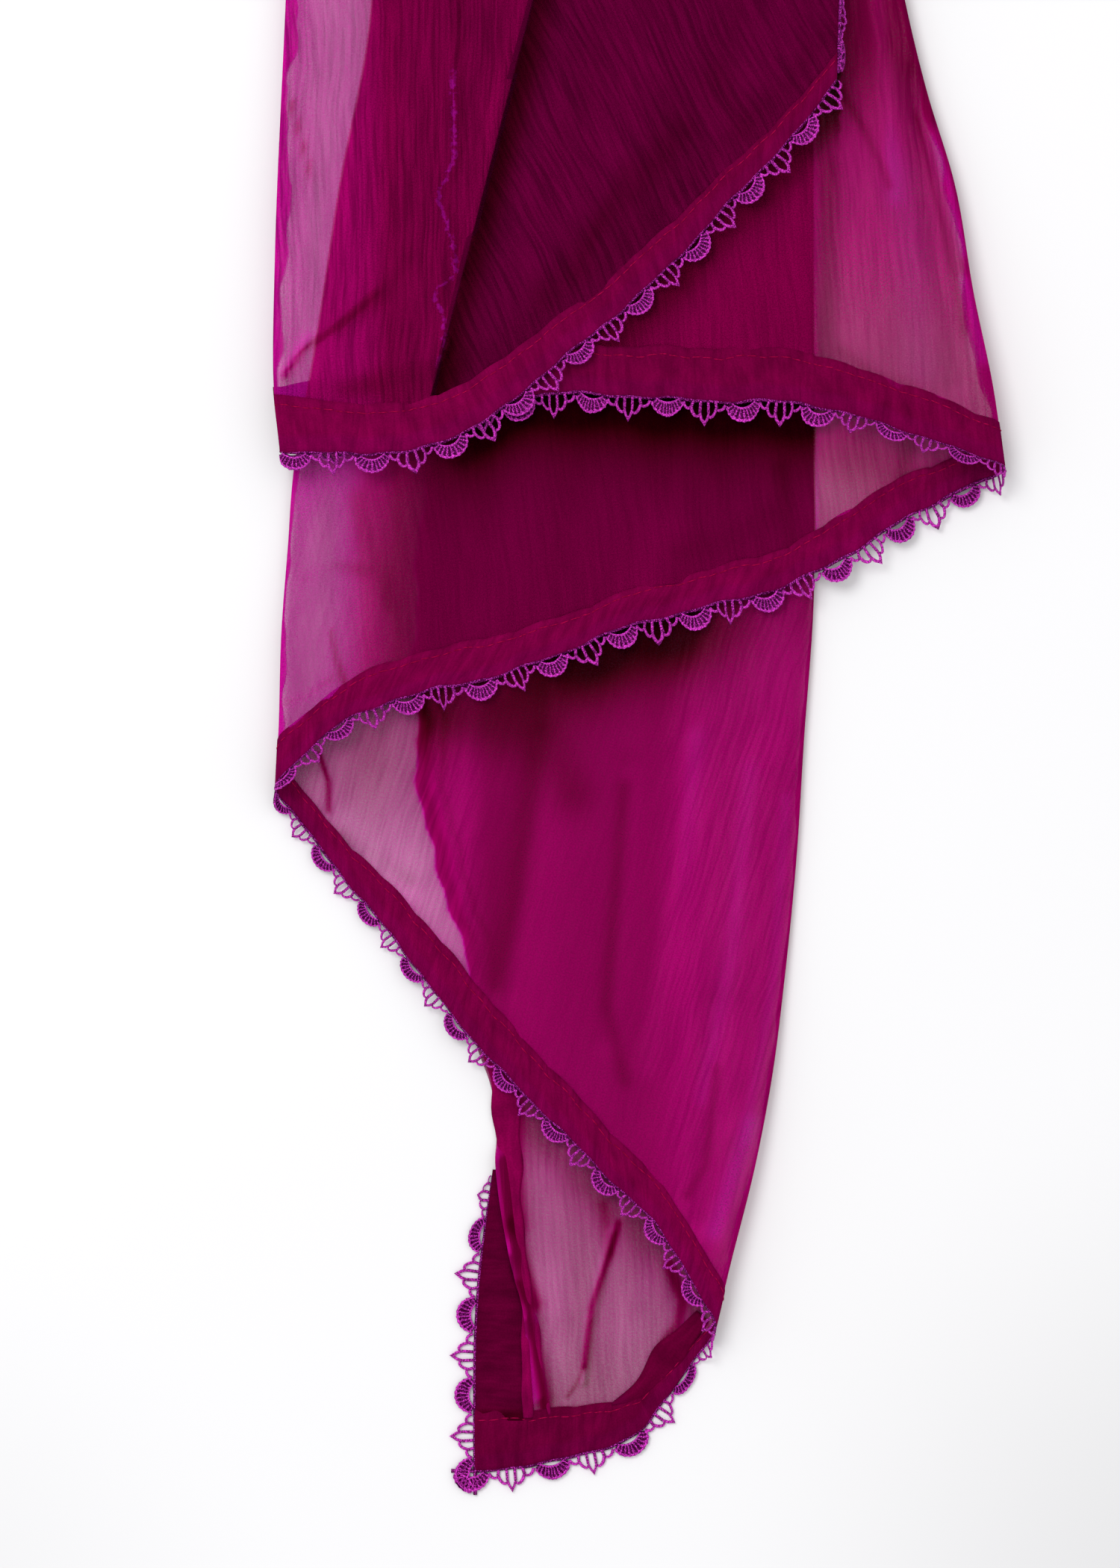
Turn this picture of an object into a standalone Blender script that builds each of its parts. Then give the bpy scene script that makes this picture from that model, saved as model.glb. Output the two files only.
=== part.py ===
"""A dupatta stole of sheer crinkled chiffon, laid flat in accordion folds, with a
hem along its end and scalloped lace on its edges. Lengths here are millimetres,
turned into metres where the meshes are made. X runs across the folds, Y along the
cloth from its shown end to its far end, Z up from the surface it lies on."""

import math
from collections import namedtuple

import bpy
import numpy as np

MM = 0.001

WALL = 1.0  # cloth thickness
SEAM = 0.3  # gap between sewn pieces
PITCH = 3.2  # height from one layer of cloth to the next
SAG = 60.0  # distance over which a layer comes down past the one it lies on
FOLD_REACH = 34.0  # how far an opened fold lifts the cloth beside it
SPLIT_AT = 520.0  # along: the shown stretches end here, the rear bundle starts
FAR_HEM_AT = 2225.0
FAR_END = 2240.0
CENTRE_ACROSS = -0.9  # the middle of the whole part, which is its origin
CENTRE_ALONG = 1122.66
LACE_REPEAT = 25.0
LACE_DEPTH = 9.5

Station = namedtuple("Station", "along across")
HemPoint = namedtuple("HemPoint", "across along band")
Fold = namedtuple("Fold", "line side upper lower rest opened open_at closed_at crest")
Stretch = namedtuple("Stretch", "name left right hem fan columns rows")

# Each fold and each long side as seen from above.
LINES = {
    "left_1": [
        Station(346, -120.5), Station(372, -123), Station(410, -122.5),
        Station(497, -119), Station(800, -108), Station(2240, -106),
    ],
    "right_1": [
        Station(341, 120.5), Station(366, 117), Station(398, 110.5),
        Station(436, 104), Station(466, 95), Station(497, 87.5),
        Station(700, 80), Station(2240, 80),
    ],
    "left_2": [
        Station(232, -122.5), Station(252, -121.5), Station(287, -120.5),
        Station(314, -118.5), Station(340, -116.5), Station(369, -111),
        Station(433, -101), Station(497, -90), Station(800, -96), Station(2240, -98),
    ],
    "right_2": [
        Station(46, 22.5), Station(56, 25), Station(71, 28.5), Station(109, 38),
        Station(138, 43.5), Station(169, 47.5), Station(209, 51.5),
        Station(248, 54), Station(303, 57.5), Station(372, 57),
        Station(497, 57), Station(800, 70), Station(2240, 72),
    ],
    "side_1": [
        Station(469, 64), Station(497, 65), Station(800, 66), Station(2240, 66),
    ],
    "side_2": [
        Station(5, -56), Station(40, -56), Station(64, -55), Station(91, -52),
        Station(109, -49.5), Station(120, -48.5), Station(135, -51),
        Station(146, -55), Station(179, -58), Station(261, -73),
        Station(367, -68), Station(497, -63.5), Station(800, -84), Station(2240, -86),
    ],
    # where the turned-in roll covers the border of the second long side
    "side_2_inner": [
        Station(5, -40), Station(40, -39), Station(56, -39.5), Station(77, -44.5),
        Station(104, -48.8), Station(109, -49.2),
    ],
}

# The hem's edge on each stretch, and how wide its border looks there.
HEMS = {
    "front": [
        HemPoint(-120, 345, 17.5), HemPoint(-102, 345, 15), HemPoint(-81, 345, 15),
        HemPoint(-68, 349, 14.5), HemPoint(-52, 357, 14), HemPoint(-31, 374, 13.5),
        HemPoint(-15.5, 386, 13.5), HemPoint(8, 407, 14), HemPoint(34, 434, 13.5),
        HemPoint(50, 450, 13.5), HemPoint(64, 468, 13.5),
    ],
    "second": [
        HemPoint(-120, 346, 20), HemPoint(-101, 350, 20), HemPoint(-65, 357.5, 18),
        HemPoint(-27.5, 365, 15), HemPoint(-2.5, 364, 15), HemPoint(22.5, 362.5, 16),
        HemPoint(57.5, 361, 16.5), HemPoint(80, 355, 15), HemPoint(100, 348.5, 15.5),
        HemPoint(115, 343, 14),
    ],
    "third": [
        HemPoint(-120, 240, 18), HemPoint(-105, 253.5, 16), HemPoint(-89, 261.5, 15),
        HemPoint(-73, 266, 14), HemPoint(-52, 270.5, 14.5), HemPoint(-31, 277.5, 13.5),
        HemPoint(-10, 286, 13), HemPoint(21, 294, 12.5), HemPoint(50, 302, 13),
        HemPoint(68.5, 311, 15), HemPoint(89.5, 324, 14), HemPoint(114, 336, 11),
    ],
    "fourth": [
        HemPoint(-120, 227, 13.5), HemPoint(-110, 214, 14), HemPoint(-97, 198, 15),
        HemPoint(-84, 182.5, 17), HemPoint(-68, 161.5, 18.5), HemPoint(-55, 146, 18.5),
        HemPoint(-42, 132.5, 18), HemPoint(-26, 117, 17.5), HemPoint(-10, 101, 17),
        HemPoint(5.5, 85.5, 17), HemPoint(20, 62, 17),
    ],
    "lower": [
        HemPoint(-56, 5, 19), HemPoint(-47, 5.5, 19), HemPoint(-31, 8.5, 16.5),
        HemPoint(-10, 13, 14.5), HemPoint(3, 21, 13), HemPoint(11, 31, 11.5),
        HemPoint(19, 42, 10.5),
    ],
}

# Layers from the top one down. A fold joins an upper layer to the next one.
STRETCHES = [
    Stretch("front", "left_1", "side_1", "front", ((0, 0), (0.27, 0.476), (1, 1)), 19, 10),
    Stretch("second", "left_1", "right_1", "second", ((0, 0), (1, 1)), 19, 9),
    Stretch("third", "left_2", "right_1", "third", ((0, 0), (1, 1)), 20, 12),
    Stretch("fourth", "left_2", "right_2", "fourth", ((0, 0), (1, 1)), 18, 14),
    Stretch("lower", "side_2", "right_2", "lower", ((0, 0), (1, 1)), 10, 14),
]
FOLDS = [
    Fold("left_1", -1, 0, 1, PITCH / 2, 3.0, 350, 460, 345.5),
    Fold("right_1", 1, 1, 2, PITCH / 2, 8.0, 345, 500, 340),
    Fold("left_2", -1, 2, 3, PITCH / 2, 4.5, 240, 330, 233.5),
    Fold("right_2", 1, 3, 4, PITCH / 2, 5.5, 60, 200, 52),
]
ARC_STEPS = {0: 3, 1: 4, 2: 3, 3: 3}

# The pleat in the front stretch: its edge runs up from the hem, and the cloth to
# its left stands a little higher.
PLEAT_FROM = Station(373, -68)
PLEAT_TO = Station(497, -36)
PLEAT_RISE = 2.8
PLEAT_STEP = 4.4
PLEAT_SHARE = 0.27  # where its edge starts on the hem's stitch line
SIDE_LIFT = 6.5  # how far the front stretch's free edge stands off the next one
SIDE_REACH = 24.0
LACE_HANG = math.radians(66)

# Rolled creases on the lowest stretch: a ridge from one point to the next.
Ridge = namedtuple("Ridge", "from_across from_along to_across to_along rise width")
RIDGES = [
    Ridge(-44, 104, -38, 58, 2.4, 6),
    Ridge(-38, 58, -33, 30, 1.8, 6),
    Ridge(-10, 86, -19, 36, 1.4, 7),
]

COLOURS = {
    "cloth": (0.19, 0.003, 0.075),
    "hem": (0.17, 0.001, 0.04),
    "lace": (0.36, 0.07, 0.44),
}


def ease(t):
    """0 to 1 with soft ends."""
    t = np.clip(t, 0.0, 1.0)
    return t * t * (3.0 - 2.0 * t)


def through(points, values, at):
    """A smooth curve through a table's rows, level beyond its ends."""
    points = np.asarray(points, float)
    values = np.asarray(values, float)
    at = np.clip(np.asarray(at, float), points[0], points[-1])
    gaps = np.diff(points)
    slopes = np.diff(values) / gaps
    turns = np.empty(len(points))
    turns[0], turns[-1] = slopes[0], slopes[-1]
    turns[1:-1] = (gaps[1:] * slopes[:-1] + gaps[:-1] * slopes[1:]) / (
        gaps[1:] + gaps[:-1]
    )
    turns[1:-1] = np.where(slopes[:-1] * slopes[1:] <= 0, 0.35 * turns[1:-1], turns[1:-1])
    i = np.clip(np.searchsorted(points, at, side="right") - 1, 0, len(gaps) - 1)
    h = gaps[i]
    t = (at - points[i]) / h
    return (
        values[i] * (1 + 2 * t) * (1 - t) ** 2
        + turns[i] * h * t * (1 - t) ** 2
        + values[i + 1] * t * t * (3 - 2 * t)
        + turns[i + 1] * h * t * t * (t - 1)
    )


def line(name, along):
    rows = LINES[name]
    return through([r.along for r in rows], [r.across for r in rows], along)


def hem_along(name, across):
    rows = HEMS[name]
    return through([r.across for r in rows], [r.along for r in rows], across)


def fold_radius(fold, along):
    opened = ease((fold.closed_at - along) / (fold.closed_at - fold.open_at))
    return fold.rest + (fold.opened - fold.rest) * opened


def fold_at(stretch, side):
    """The fold on this side of a stretch, if it has one there."""
    k = STRETCHES.index(stretch)
    for fold in FOLDS:
        if k in (fold.upper, fold.lower) and fold.side == side:
            return fold
    return None


def tangent_line(stretch, side, along):
    """Where the flat of a stretch ends: short of the fold's crest by its radius."""
    name = stretch.left if side < 0 else stretch.right
    fold = fold_at(stretch, side)
    edge = line(name, along)
    return edge - side * fold_radius(fold, along) if fold else edge


def cover(k, x, y):
    """1 over a stretch's own area, easing to 0 past its edges."""
    s = STRETCHES[k]
    inside = np.minimum(x - line(s.left, y), line(s.right, y) - x)
    inside = np.minimum(inside, 0.75 * (y - hem_along(s.hem, x) + LACE_DEPTH))
    return ease((inside + SAG) / SAG)


def height(k, x, y):
    """Height of the middle of a stretch's cloth above the surface it lies on."""
    x, y = np.asarray(x, float), np.asarray(y, float)
    z = WALL / 2 + PITCH * sum(
        (cover(j, x, y) for j in range(k + 1, len(STRETCHES))), np.zeros(np.broadcast(x, y).shape)
    )
    for fold in FOLDS:
        if k <= fold.upper:
            r = fold_radius(fold, y)
            beside = (x - (line(fold.line, y) - fold.side * r)) / FOLD_REACH
            z = z + (2 * r - PITCH) * np.exp(-(beside**2))
    if k == 0:
        z = z + PLEAT_RISE * pleat(x, y)
        free = (x - line("side_1", y)) / SIDE_REACH
        z = z + SIDE_LIFT * ease((640 - y) / 110) * np.exp(-(free**2))
    return z


def pleat(x, y):
    share = (y - PLEAT_FROM.along) / (PLEAT_TO.along - PLEAT_FROM.along)
    at = PLEAT_FROM.across + share * (PLEAT_TO.across - PLEAT_FROM.across)
    step = ease((at + PLEAT_STEP / 2 - x) / PLEAT_STEP)
    return step * ease(share * 2) * ease((800 - y) / 200) * np.exp(-(((x - at) / 60.0) ** 2))


def distance(p, a, b):
    """Distance in plan from points p to the stretch from a to b."""
    a, b = np.asarray(a, float), np.asarray(b, float)
    t = np.clip(((p - a) @ (b - a)) / ((b - a) @ (b - a)), 0, 1)
    return np.linalg.norm(p - (a + t[..., None] * (b - a)), axis=-1)


def hem_row(stretch, count):
    """Evenly spaced points of the hem's edge, and of its stitch line."""
    rows = HEMS[stretch.hem]
    low = np.linspace(rows[0].across, rows[-1].across, 400)
    edge = np.stack([low, hem_along(stretch.hem, low)], 1)
    run = np.concatenate([[0], np.cumsum(np.linalg.norm(np.diff(edge, axis=0), axis=1))])
    at = np.linspace(0, run[-1], count)
    x = np.interp(at, run, low)
    edge = np.stack([x, np.interp(at, run, edge[:, 1])], 1)
    along = np.gradient(edge, axis=0)
    along /= np.linalg.norm(along, axis=1)[:, None]
    up = np.stack([-along[:, 1], along[:, 0]], 1)
    band = np.interp(x, [r.across for r in rows], [r.band for r in rows])
    return edge, edge + up * band[:, None]


def shares(points, left, right):
    """Each point's place between the two tangent lines, 0 to 1."""
    x0, x1 = left(points[:, 1]), right(points[:, 1])
    share = (points[:, 0] - x0) / (x1 - x0)
    return np.clip((share - share[0]) / (share[-1] - share[0]), 0, 1)


def band_grid(stretch, columns, rows):
    """Plan points of the hem's border, from its edge to its stitch line."""
    left = lambda y: tangent_line(stretch, -1, y)
    right = lambda y: tangent_line(stretch, 1, y)
    edge, stitch = hem_row(stretch, columns)
    at_edge, at_stitch = shares(edge, left, right), shares(stitch, left, right)
    grid = np.empty((rows, columns, 2))
    for j in range(rows):
        t = j / (rows - 1)
        y = edge[:, 1] + (stitch[:, 1] - edge[:, 1]) * t
        x0, x1 = left(y), right(y)
        share = at_edge + (at_stitch - at_edge) * t
        grid[j] = np.stack([x0 + share * (x1 - x0), y], 1)
    return grid


def cloth_grid(stretch, columns, rows, inner=None):
    """Plan points of the ground cloth, from the stitch line to the rear bundle."""
    left = lambda y: line(inner, y) if inner else tangent_line(stretch, -1, y)
    right = lambda y: tangent_line(stretch, 1, y)
    stitch = band_grid(stretch, 300, 2)[-1]
    if inner:
        stitch = stitch[stitch[:, 0] >= left(stitch[:, 1])]
    run = np.concatenate([[0], np.cumsum(np.linalg.norm(np.diff(stitch, axis=0), axis=1))])
    at = np.linspace(0, run[-1], columns)
    if stretch.name == "front":
        beside = [PLEAT_SHARE * run[-1] + step for step in (-PLEAT_STEP / 2, PLEAT_STEP / 2)]
        at = [a for a in at if abs(a - PLEAT_SHARE * run[-1]) > PLEAT_STEP]
        at = np.sort(np.concatenate([at, beside]))
        columns = len(at)
    stitch = np.stack([np.interp(at, run, stitch[:, c]) for c in (0, 1)], 1)
    at_stitch = shares(stitch, left, right)
    top_share = np.interp(at_stitch, *zip(*stretch.fan))
    grid = np.empty((rows, columns, 2))
    for j in range(rows):
        t = (j / (rows - 1)) ** (1.6 if inner else 1.25)
        y = stitch[:, 1] + 1.8 * SEAM + (SPLIT_AT - stitch[:, 1] - 1.8 * SEAM) * t
        x0, x1 = left(y), right(y)
        share = at_stitch + (top_share - at_stitch) * t
        grid[j] = np.stack([x0 + share * (x1 - x0), y], 1)
    return grid


def with_arcs(stretch, plan):
    """Adds heights to the flat part and the quarter turns at its folds."""
    k = STRETCHES.index(stretch)
    flat = np.dstack([plan, height(k, plan[..., 0], plan[..., 1])])
    blocks = [flat]
    for side in (-1, 1):
        fold = fold_at(stretch, side)
        if not fold:
            continue
        steps = ARC_STEPS[FOLDS.index(fold)]
        end = flat[:, 0] if side < 0 else flat[:, -1]
        hem_end = HEMS[stretch.hem][0 if side < 0 else -1].along
        fade = 1 - ease((end[:, 1] - hem_end) / 60)
        turn = []
        for i in range(1, steps + 1):
            share = i / steps
            y = end[:, 1] + (fold.crest - hem_end) * share * fade
            r = fold_radius(fold, y)
            angle = share * (math.pi / 2) - (0.5 * SEAM + 0.05) / r * share
            x = line(fold.line, y) - side * r + side * r * np.sin(angle)
            base = height(k, line(fold.line, y) - side * r, y)
            down = -1 if fold.upper == k else 1
            z = base + down * r * (1 - np.cos(angle))
            turn.append(np.stack([x, y, z], 1))
        turn = np.stack(turn, 1)
        blocks = [turn[:, ::-1]] + blocks if side < 0 else blocks + [turn]
    return np.concatenate(blocks, axis=1)


def grid_normals(grid):
    across = np.gradient(grid, axis=1)
    along = np.gradient(grid, axis=0)
    normal = np.cross(across, along)
    return normal / np.linalg.norm(normal, axis=-1)[..., None]


def material(name, colour, roughness):
    found = bpy.data.materials.new(name)
    found.use_nodes = True
    shader = found.node_tree.nodes["Principled BSDF"]
    shader.inputs["Base Color"].default_value = (*colour, 1)
    shader.inputs["Roughness"].default_value = roughness
    shader.inputs["Metallic"].default_value = 0
    return found


def node(name, verts, faces, look):
    mesh = bpy.data.meshes.new(name)
    moved = np.asarray(verts, float) - (CENTRE_ACROSS, CENTRE_ALONG, 0)
    mesh.from_pydata([tuple(MM * v) for v in moved], [], faces)
    mesh.update()
    obj = bpy.data.objects.new(name, mesh)
    bpy.context.scene.collection.objects.link(obj)
    mesh.materials.append(material(name, COLOURS[look], 0.7 if look != "lace" else 0.55))
    mesh.shade_smooth()
    mesh.set_sharp_from_angle(angle=math.radians(40))
    return obj


def slab(name, middle, normals, polygons, look, thickness=WALL, on_floor=False, extra=None):
    """A wall of even thickness on a surface given by points, normals and polygons."""
    middle, normals = np.asarray(middle, float), np.asarray(normals, float)
    top = middle + normals * thickness / 2
    low = middle - normals * thickness / 2
    if extra is not None:
        top[:, 2] += extra
    if on_floor:
        low[:, 2] = np.maximum(low[:, 2], 0.0)
    count = len(middle)
    faces = [tuple(p) for p in polygons]
    faces += [tuple(i + count for i in reversed(p)) for p in polygons]
    edges = {}
    for p in polygons:
        for a, b in zip(p, p[1:] + p[:1]):
            edges[(a, b)] = True
    for a, b in edges:
        if (b, a) not in edges:
            faces.append((b, a, a + count, b + count))
    return node(name, np.concatenate([top, low]), faces, look)


def grid_slab(name, grid, look, **options):
    rows, columns = grid.shape[:2]
    cells = [
        [j * columns + i, j * columns + i + 1, (j + 1) * columns + i + 1, (j + 1) * columns + i]
        for j in range(rows - 1)
        for i in range(columns - 1)
    ]
    return slab(name, grid.reshape(-1, 3), grid_normals(grid).reshape(-1, 3), cells, look, **options)


def ridge_rise(grid):
    """The rolled creases that stand on the lowest stretch."""
    rise = np.zeros(grid.shape[:2])
    for r in RIDGES:
        away = distance(grid[..., :2], (r.from_across, r.from_along), (r.to_across, r.to_along))
        rise = np.maximum(rise, r.rise * np.exp(-((away / r.width) ** 2)))
    return rise.reshape(-1)


# One repeat of the lace: a solid fan, then two openings with a bar between them.
FAN_FROM, FAN_TO = -0.6, 13.4
OPEN_1 = (13.4, 17.9)
OPEN_2 = (19.3, 24.4)
CORD = 1.2
FAN_RISE = ((2.4, 8.4), (6.4, LACE_DEPTH), (10.4, 8.4))
OUTER = {FAN_FROM: (5.4, 7.2), 13.4: (4.6, 6.4), 17.9: (5.2, 7.0), 19.3: (5.6, 7.6)}


def lace_polygons(repeats, start):
    """Points (run, depth) and polygons of a strip of lace."""
    points, index, polygons = [], {}, []

    def at(run, depth):
        key = (round(run, 4), round(depth, 4))
        if key not in index:
            index[key] = len(points)
            points.append(key)
        return index[key]

    for n in range(repeats):
        o = start + n * LACE_REPEAT
        a, b = o + (FAN_FROM if n else 0), o + FAN_TO
        left = [at(a, 0), at(a, CORD), at(a, OUTER[FAN_FROM][0]), at(a, OUTER[FAN_FROM][1])]
        rise = [at(o + w, q) for w, q in FAN_RISE]
        right = [at(b, OUTER[13.4][1]), at(b, OUTER[13.4][0]), at(b, CORD), at(b, 0)]
        polygons.append(left + rise + right + [at(0.5 * (a + b), 0)])
        stops = [13.4, 17.9, 19.3, LACE_REPEAT + FAN_FROM]
        if n == repeats - 1:
            stops[-1] = LACE_REPEAT
        for w0, w1 in zip(stops, stops[1:]):
            q0 = OUTER.get(w0)
            q1 = OUTER.get(w1, OUTER[FAN_FROM])
            u0, u1 = o + w0, o + w1
            polygons.append([at(u0, 0), at(u0, CORD), at(u1, CORD), at(u1, 0)])
            polygons.append([at(u0, q0[0]), at(u0, q0[1]), at(u1, q1[1]), at(u1, q1[0])])
            if (w0, w1) == (17.9, 19.3):
                polygons.append([at(u0, CORD), at(u0, q0[0]), at(u1, q1[0]), at(u1, CORD)])
    last = start + repeats * LACE_REPEAT
    end = [at(last, 0), at(last, CORD), at(last, OUTER[FAN_FROM][0]), at(last, OUTER[FAN_FROM][1])]
    return np.array(points, float), polygons, end, last


def lace_strip(name, edge, inner, look="lace", plain=False, end_room=0.5):
    """Lace sewn along edge, a row of points, pointing away from inner."""
    run = np.concatenate([[0], np.cumsum(np.linalg.norm(np.diff(edge, axis=0), axis=1))])
    out = edge - inner
    out /= np.linalg.norm(out, axis=1)[:, None]
    forward = np.gradient(edge, axis=0)
    forward /= np.linalg.norm(forward, axis=1)[:, None]
    up = np.cross(out, forward)
    up /= np.linalg.norm(up, axis=1)[:, None]
    length = run[-1]
    repeats = max(1, round(length / LACE_REPEAT))
    stretch_by = length / (repeats * LACE_REPEAT)
    if plain:
        stops = []
        for n in range(repeats):
            stops += [(n * LACE_REPEAT, 6.0), (n * LACE_REPEAT + 7.5, LACE_DEPTH)]
        stops.append((repeats * LACE_REPEAT, 6.0))
        points = np.array([(w, 0) for w, _ in stops] + stops, float)
        m = len(stops)
        polygons = [[i, i + m, i + m + 1, i + 1] for i in range(m - 1)]
    else:
        points, polygons, end, last = lace_polygons(repeats, 0.0)
        # the last opening ends in a closing bar a cord wide
        bar = {}
        for i in end:
            w, q = points[i]
            points = np.vstack([points, (w, q)])
            bar[i] = len(points) - 1
        for i in end:
            points[i, 0] = last - CORD
        polygons.append([end[0], end[1], bar[end[1]], bar[end[0]]])
        polygons.append([end[1], end[2], bar[end[2]], bar[end[1]]])
        polygons.append([end[2], end[3], bar[end[3]], bar[end[2]]])
    w = np.clip(points[:, 0] * stretch_by, 0, length)
    q = points[:, 1] + 1.6 * SEAM

    def read(values):
        return np.stack([np.interp(w, run, values[:, c]) for c in range(3)], 1)

    middle = read(edge) + read(out) * q[:, None]
    middle[:, 2] = np.maximum(middle[:, 2], WALL / 2)
    normals = read(up)
    normals /= np.linalg.norm(normals, axis=1)[:, None]
    if normals[:, 2].sum() < 0:
        normals = -normals
        polygons = [p[::-1] for p in polygons]
    return slab(name, middle, normals, polygons, look, on_floor=True)


def shown_stretches():
    for stretch in STRETCHES:
        lowest = stretch.name == "lower"
        inner = "side_2_turned" if lowest else None
        grid = with_arcs(stretch, cloth_grid(stretch, stretch.columns, stretch.rows, inner))
        extra = ridge_rise(grid) if lowest else None
        grid_slab(stretch.name + "_fall", grid, "cloth", on_floor=True, extra=extra)
        band = with_arcs(stretch, band_grid(stretch, 2 * stretch.columns - 1, 2))
        grid_slab(stretch.name + "_hem", band, "hem", on_floor=True)
        fine = with_arcs(stretch, band_grid(stretch, 90, 5))
        lace_strip(stretch.name + "_lace", fine[0], fine[1])


def side_pieces():
    """The border and lace that show on the second long side, near the corner."""
    y = np.linspace(26, 98, 13)
    x0, x1 = line("side_2", y), line("side_2_inner", y) - 4 * SEAM
    rows = [np.stack([x0 + (x1 - x0) * t, y, np.full(len(y), WALL / 2)], 1) for t in (0, 0.5, 1)]
    grid_slab("side_hem", np.stack(rows, 1), "hem", on_floor=True)
    y = np.linspace(6, 104, 50)
    edge = np.stack([line("side_2", y), y, np.full(50, WALL / 2)], 1)
    inner = edge + (1, 0, 0)
    lace_strip("side_lace", edge, inner)


def front_side_lace():
    y = np.linspace(470, FAR_END - 1, 900)
    x = line("side_1", y)
    z = height(0, x, y)
    hang = LACE_HANG * ease((640 - y) / 110)
    # hung down, the lace clears the cloth's own thickness
    edge = np.stack([x + (WALL / 2 + SEAM) * np.sin(hang), y, z], 1)
    inner = edge - np.stack([np.cos(hang), 0 * y, -np.sin(hang)], 1)
    lace_strip("front_side_lace", edge, inner, plain=True)


def bundle_section(y):
    """The folded layers at one place along the cloth, as one closed outline."""
    half = WALL / 2
    top = []
    r = float(fold_radius(FOLDS[0], y))
    x_left, x_right = float(line("left_1", y)), float(line("side_1", y))
    for x in np.linspace(x_left + r, x_right, 13):
        top.append((x, float(height(0, x, y)) + half))
    a_edge = float(height(0, x_right, y))
    b_edge = float(height(1, x_right, y))
    ring = list(top)
    ring.append((x_right, a_edge - half))
    ring.append((x_right - 5, 0.5 * (a_edge + b_edge)))
    ring.append((x_right - 2, b_edge + half))
    r2 = float(fold_radius(FOLDS[1], y))
    x_fold = float(line("right_1", y))
    b_end = float(height(1, x_fold - r2, y))
    ring.append((x_fold - r2 - 4, float(height(1, x_fold - r2 - 4, y)) + half))
    for angle in (90, 45, 0, -45, -90):
        a = math.radians(angle)
        ring.append((x_fold - r2 + (r2 + half) * math.cos(a), b_end - r2 + (r2 + half) * math.sin(a)))
    x_low = float(line("right_2", y))
    d_end = float(height(3, x_low - 2, y))
    ring.append((x_low - 3, 0.5 * (d_end + b_end - 2 * r2)))
    for angle in (60, 0, -60):
        a = math.radians(angle)
        ring.append((x_low - 1.6 + 2.1 * math.cos(a), d_end / 2 + 0.25 + 2.0 * math.sin(a)))
    ring.append((x_low - 3, 0.0))
    x_side = float(line("side_2", y)) + 1
    ring.append((x_side, 0.0))
    ring.append((x_side, 1.0))
    x_third = float(line("left_2", y))
    c_end = float(height(2, x_third + 2, y))
    d_left = float(height(3, x_third + 2, y))
    for angle in (240, 180, 120):
        a = math.radians(angle)
        ring.append((x_third + 1.6 + 2.1 * math.cos(a), 0.5 * (c_end + d_left) + 2.0 * math.sin(a)))
    b_left = float(height(1, x_third + 4, y))
    ring.append((x_third + 4, b_left - half))
    end = float(height(1, x_left + r, y))
    for angle in (270, 225, 180, 135):
        a = math.radians(angle)
        ring.append((x_left + r + (r + half) * math.cos(a), end + r + (r + half) * math.sin(a)))
    return ring


def loft(name, sections, look):
    """One solid through outlines that all have the same number of points."""
    verts, faces = [], []
    count = len(sections[0][1])
    for y, ring in sections:
        verts += [(x, y, max(z, 0.0)) for x, z in ring]
    for j in range(len(sections) - 1):
        for i in range(count):
            a, b = j * count + i, j * count + (i + 1) % count
            faces.append((a, b, b + count, a + count))
    faces.append(tuple(reversed(range(count))))
    last = (len(sections) - 1) * count
    faces.append(tuple(range(last, last + count)))
    return node(name, verts, faces, look)


def rear_pieces():
    stops = [SPLIT_AT + SEAM, 575, 640, 720, 800, 1100, 1500, 1900, FAR_HEM_AT - SEAM]
    loft("rear_bundle", [(y, bundle_section(y)) for y in stops], "cloth")
    stops = [FAR_HEM_AT, FAR_END]
    loft("far_hem", [(y, bundle_section(y)) for y in stops], "hem")
    x = np.linspace(float(line("left_1", FAR_END)) + 2, float(line("side_1", FAR_END)) - 0.5, 80)[::-1]
    z = height(0, x, np.full(80, FAR_END))
    edge = np.stack([x, np.full(80, FAR_END), z], 1)
    lace_strip("far_lace", edge, edge - (0, 1, 0))


def main():
    for obj in list(bpy.data.objects):
        bpy.data.objects.remove(obj, do_unlink=True)
    bpy.context.scene.unit_settings.system = "METRIC"
    # above the covered border, the turned edge is the stretch's own side
    LINES["side_2_turned"] = LINES["side_2_inner"] + [
        row for row in LINES["side_2"] if row.along > 112
    ]
    shown_stretches()
    side_pieces()
    front_side_lace()
    rear_pieces()


main()
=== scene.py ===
import math
from collections import namedtuple

import bpy
import numpy as np
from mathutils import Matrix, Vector


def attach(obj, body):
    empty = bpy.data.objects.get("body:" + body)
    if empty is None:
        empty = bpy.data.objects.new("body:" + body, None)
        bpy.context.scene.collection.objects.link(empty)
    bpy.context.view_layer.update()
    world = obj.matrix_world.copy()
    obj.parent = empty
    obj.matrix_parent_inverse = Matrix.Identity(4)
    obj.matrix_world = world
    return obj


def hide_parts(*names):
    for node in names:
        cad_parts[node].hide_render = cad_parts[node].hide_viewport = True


bl_info = {
    "name": "Dupatta stole",
    "version": (1, 0, 0),
    "blender": (4, 5, 0),
    "location": "3D View > Sidebar > Stole",
    "description": "A sheer stole laid in accordion folds, with a hem, scalloped lace and stitching",
    "category": "Object",
}

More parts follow.
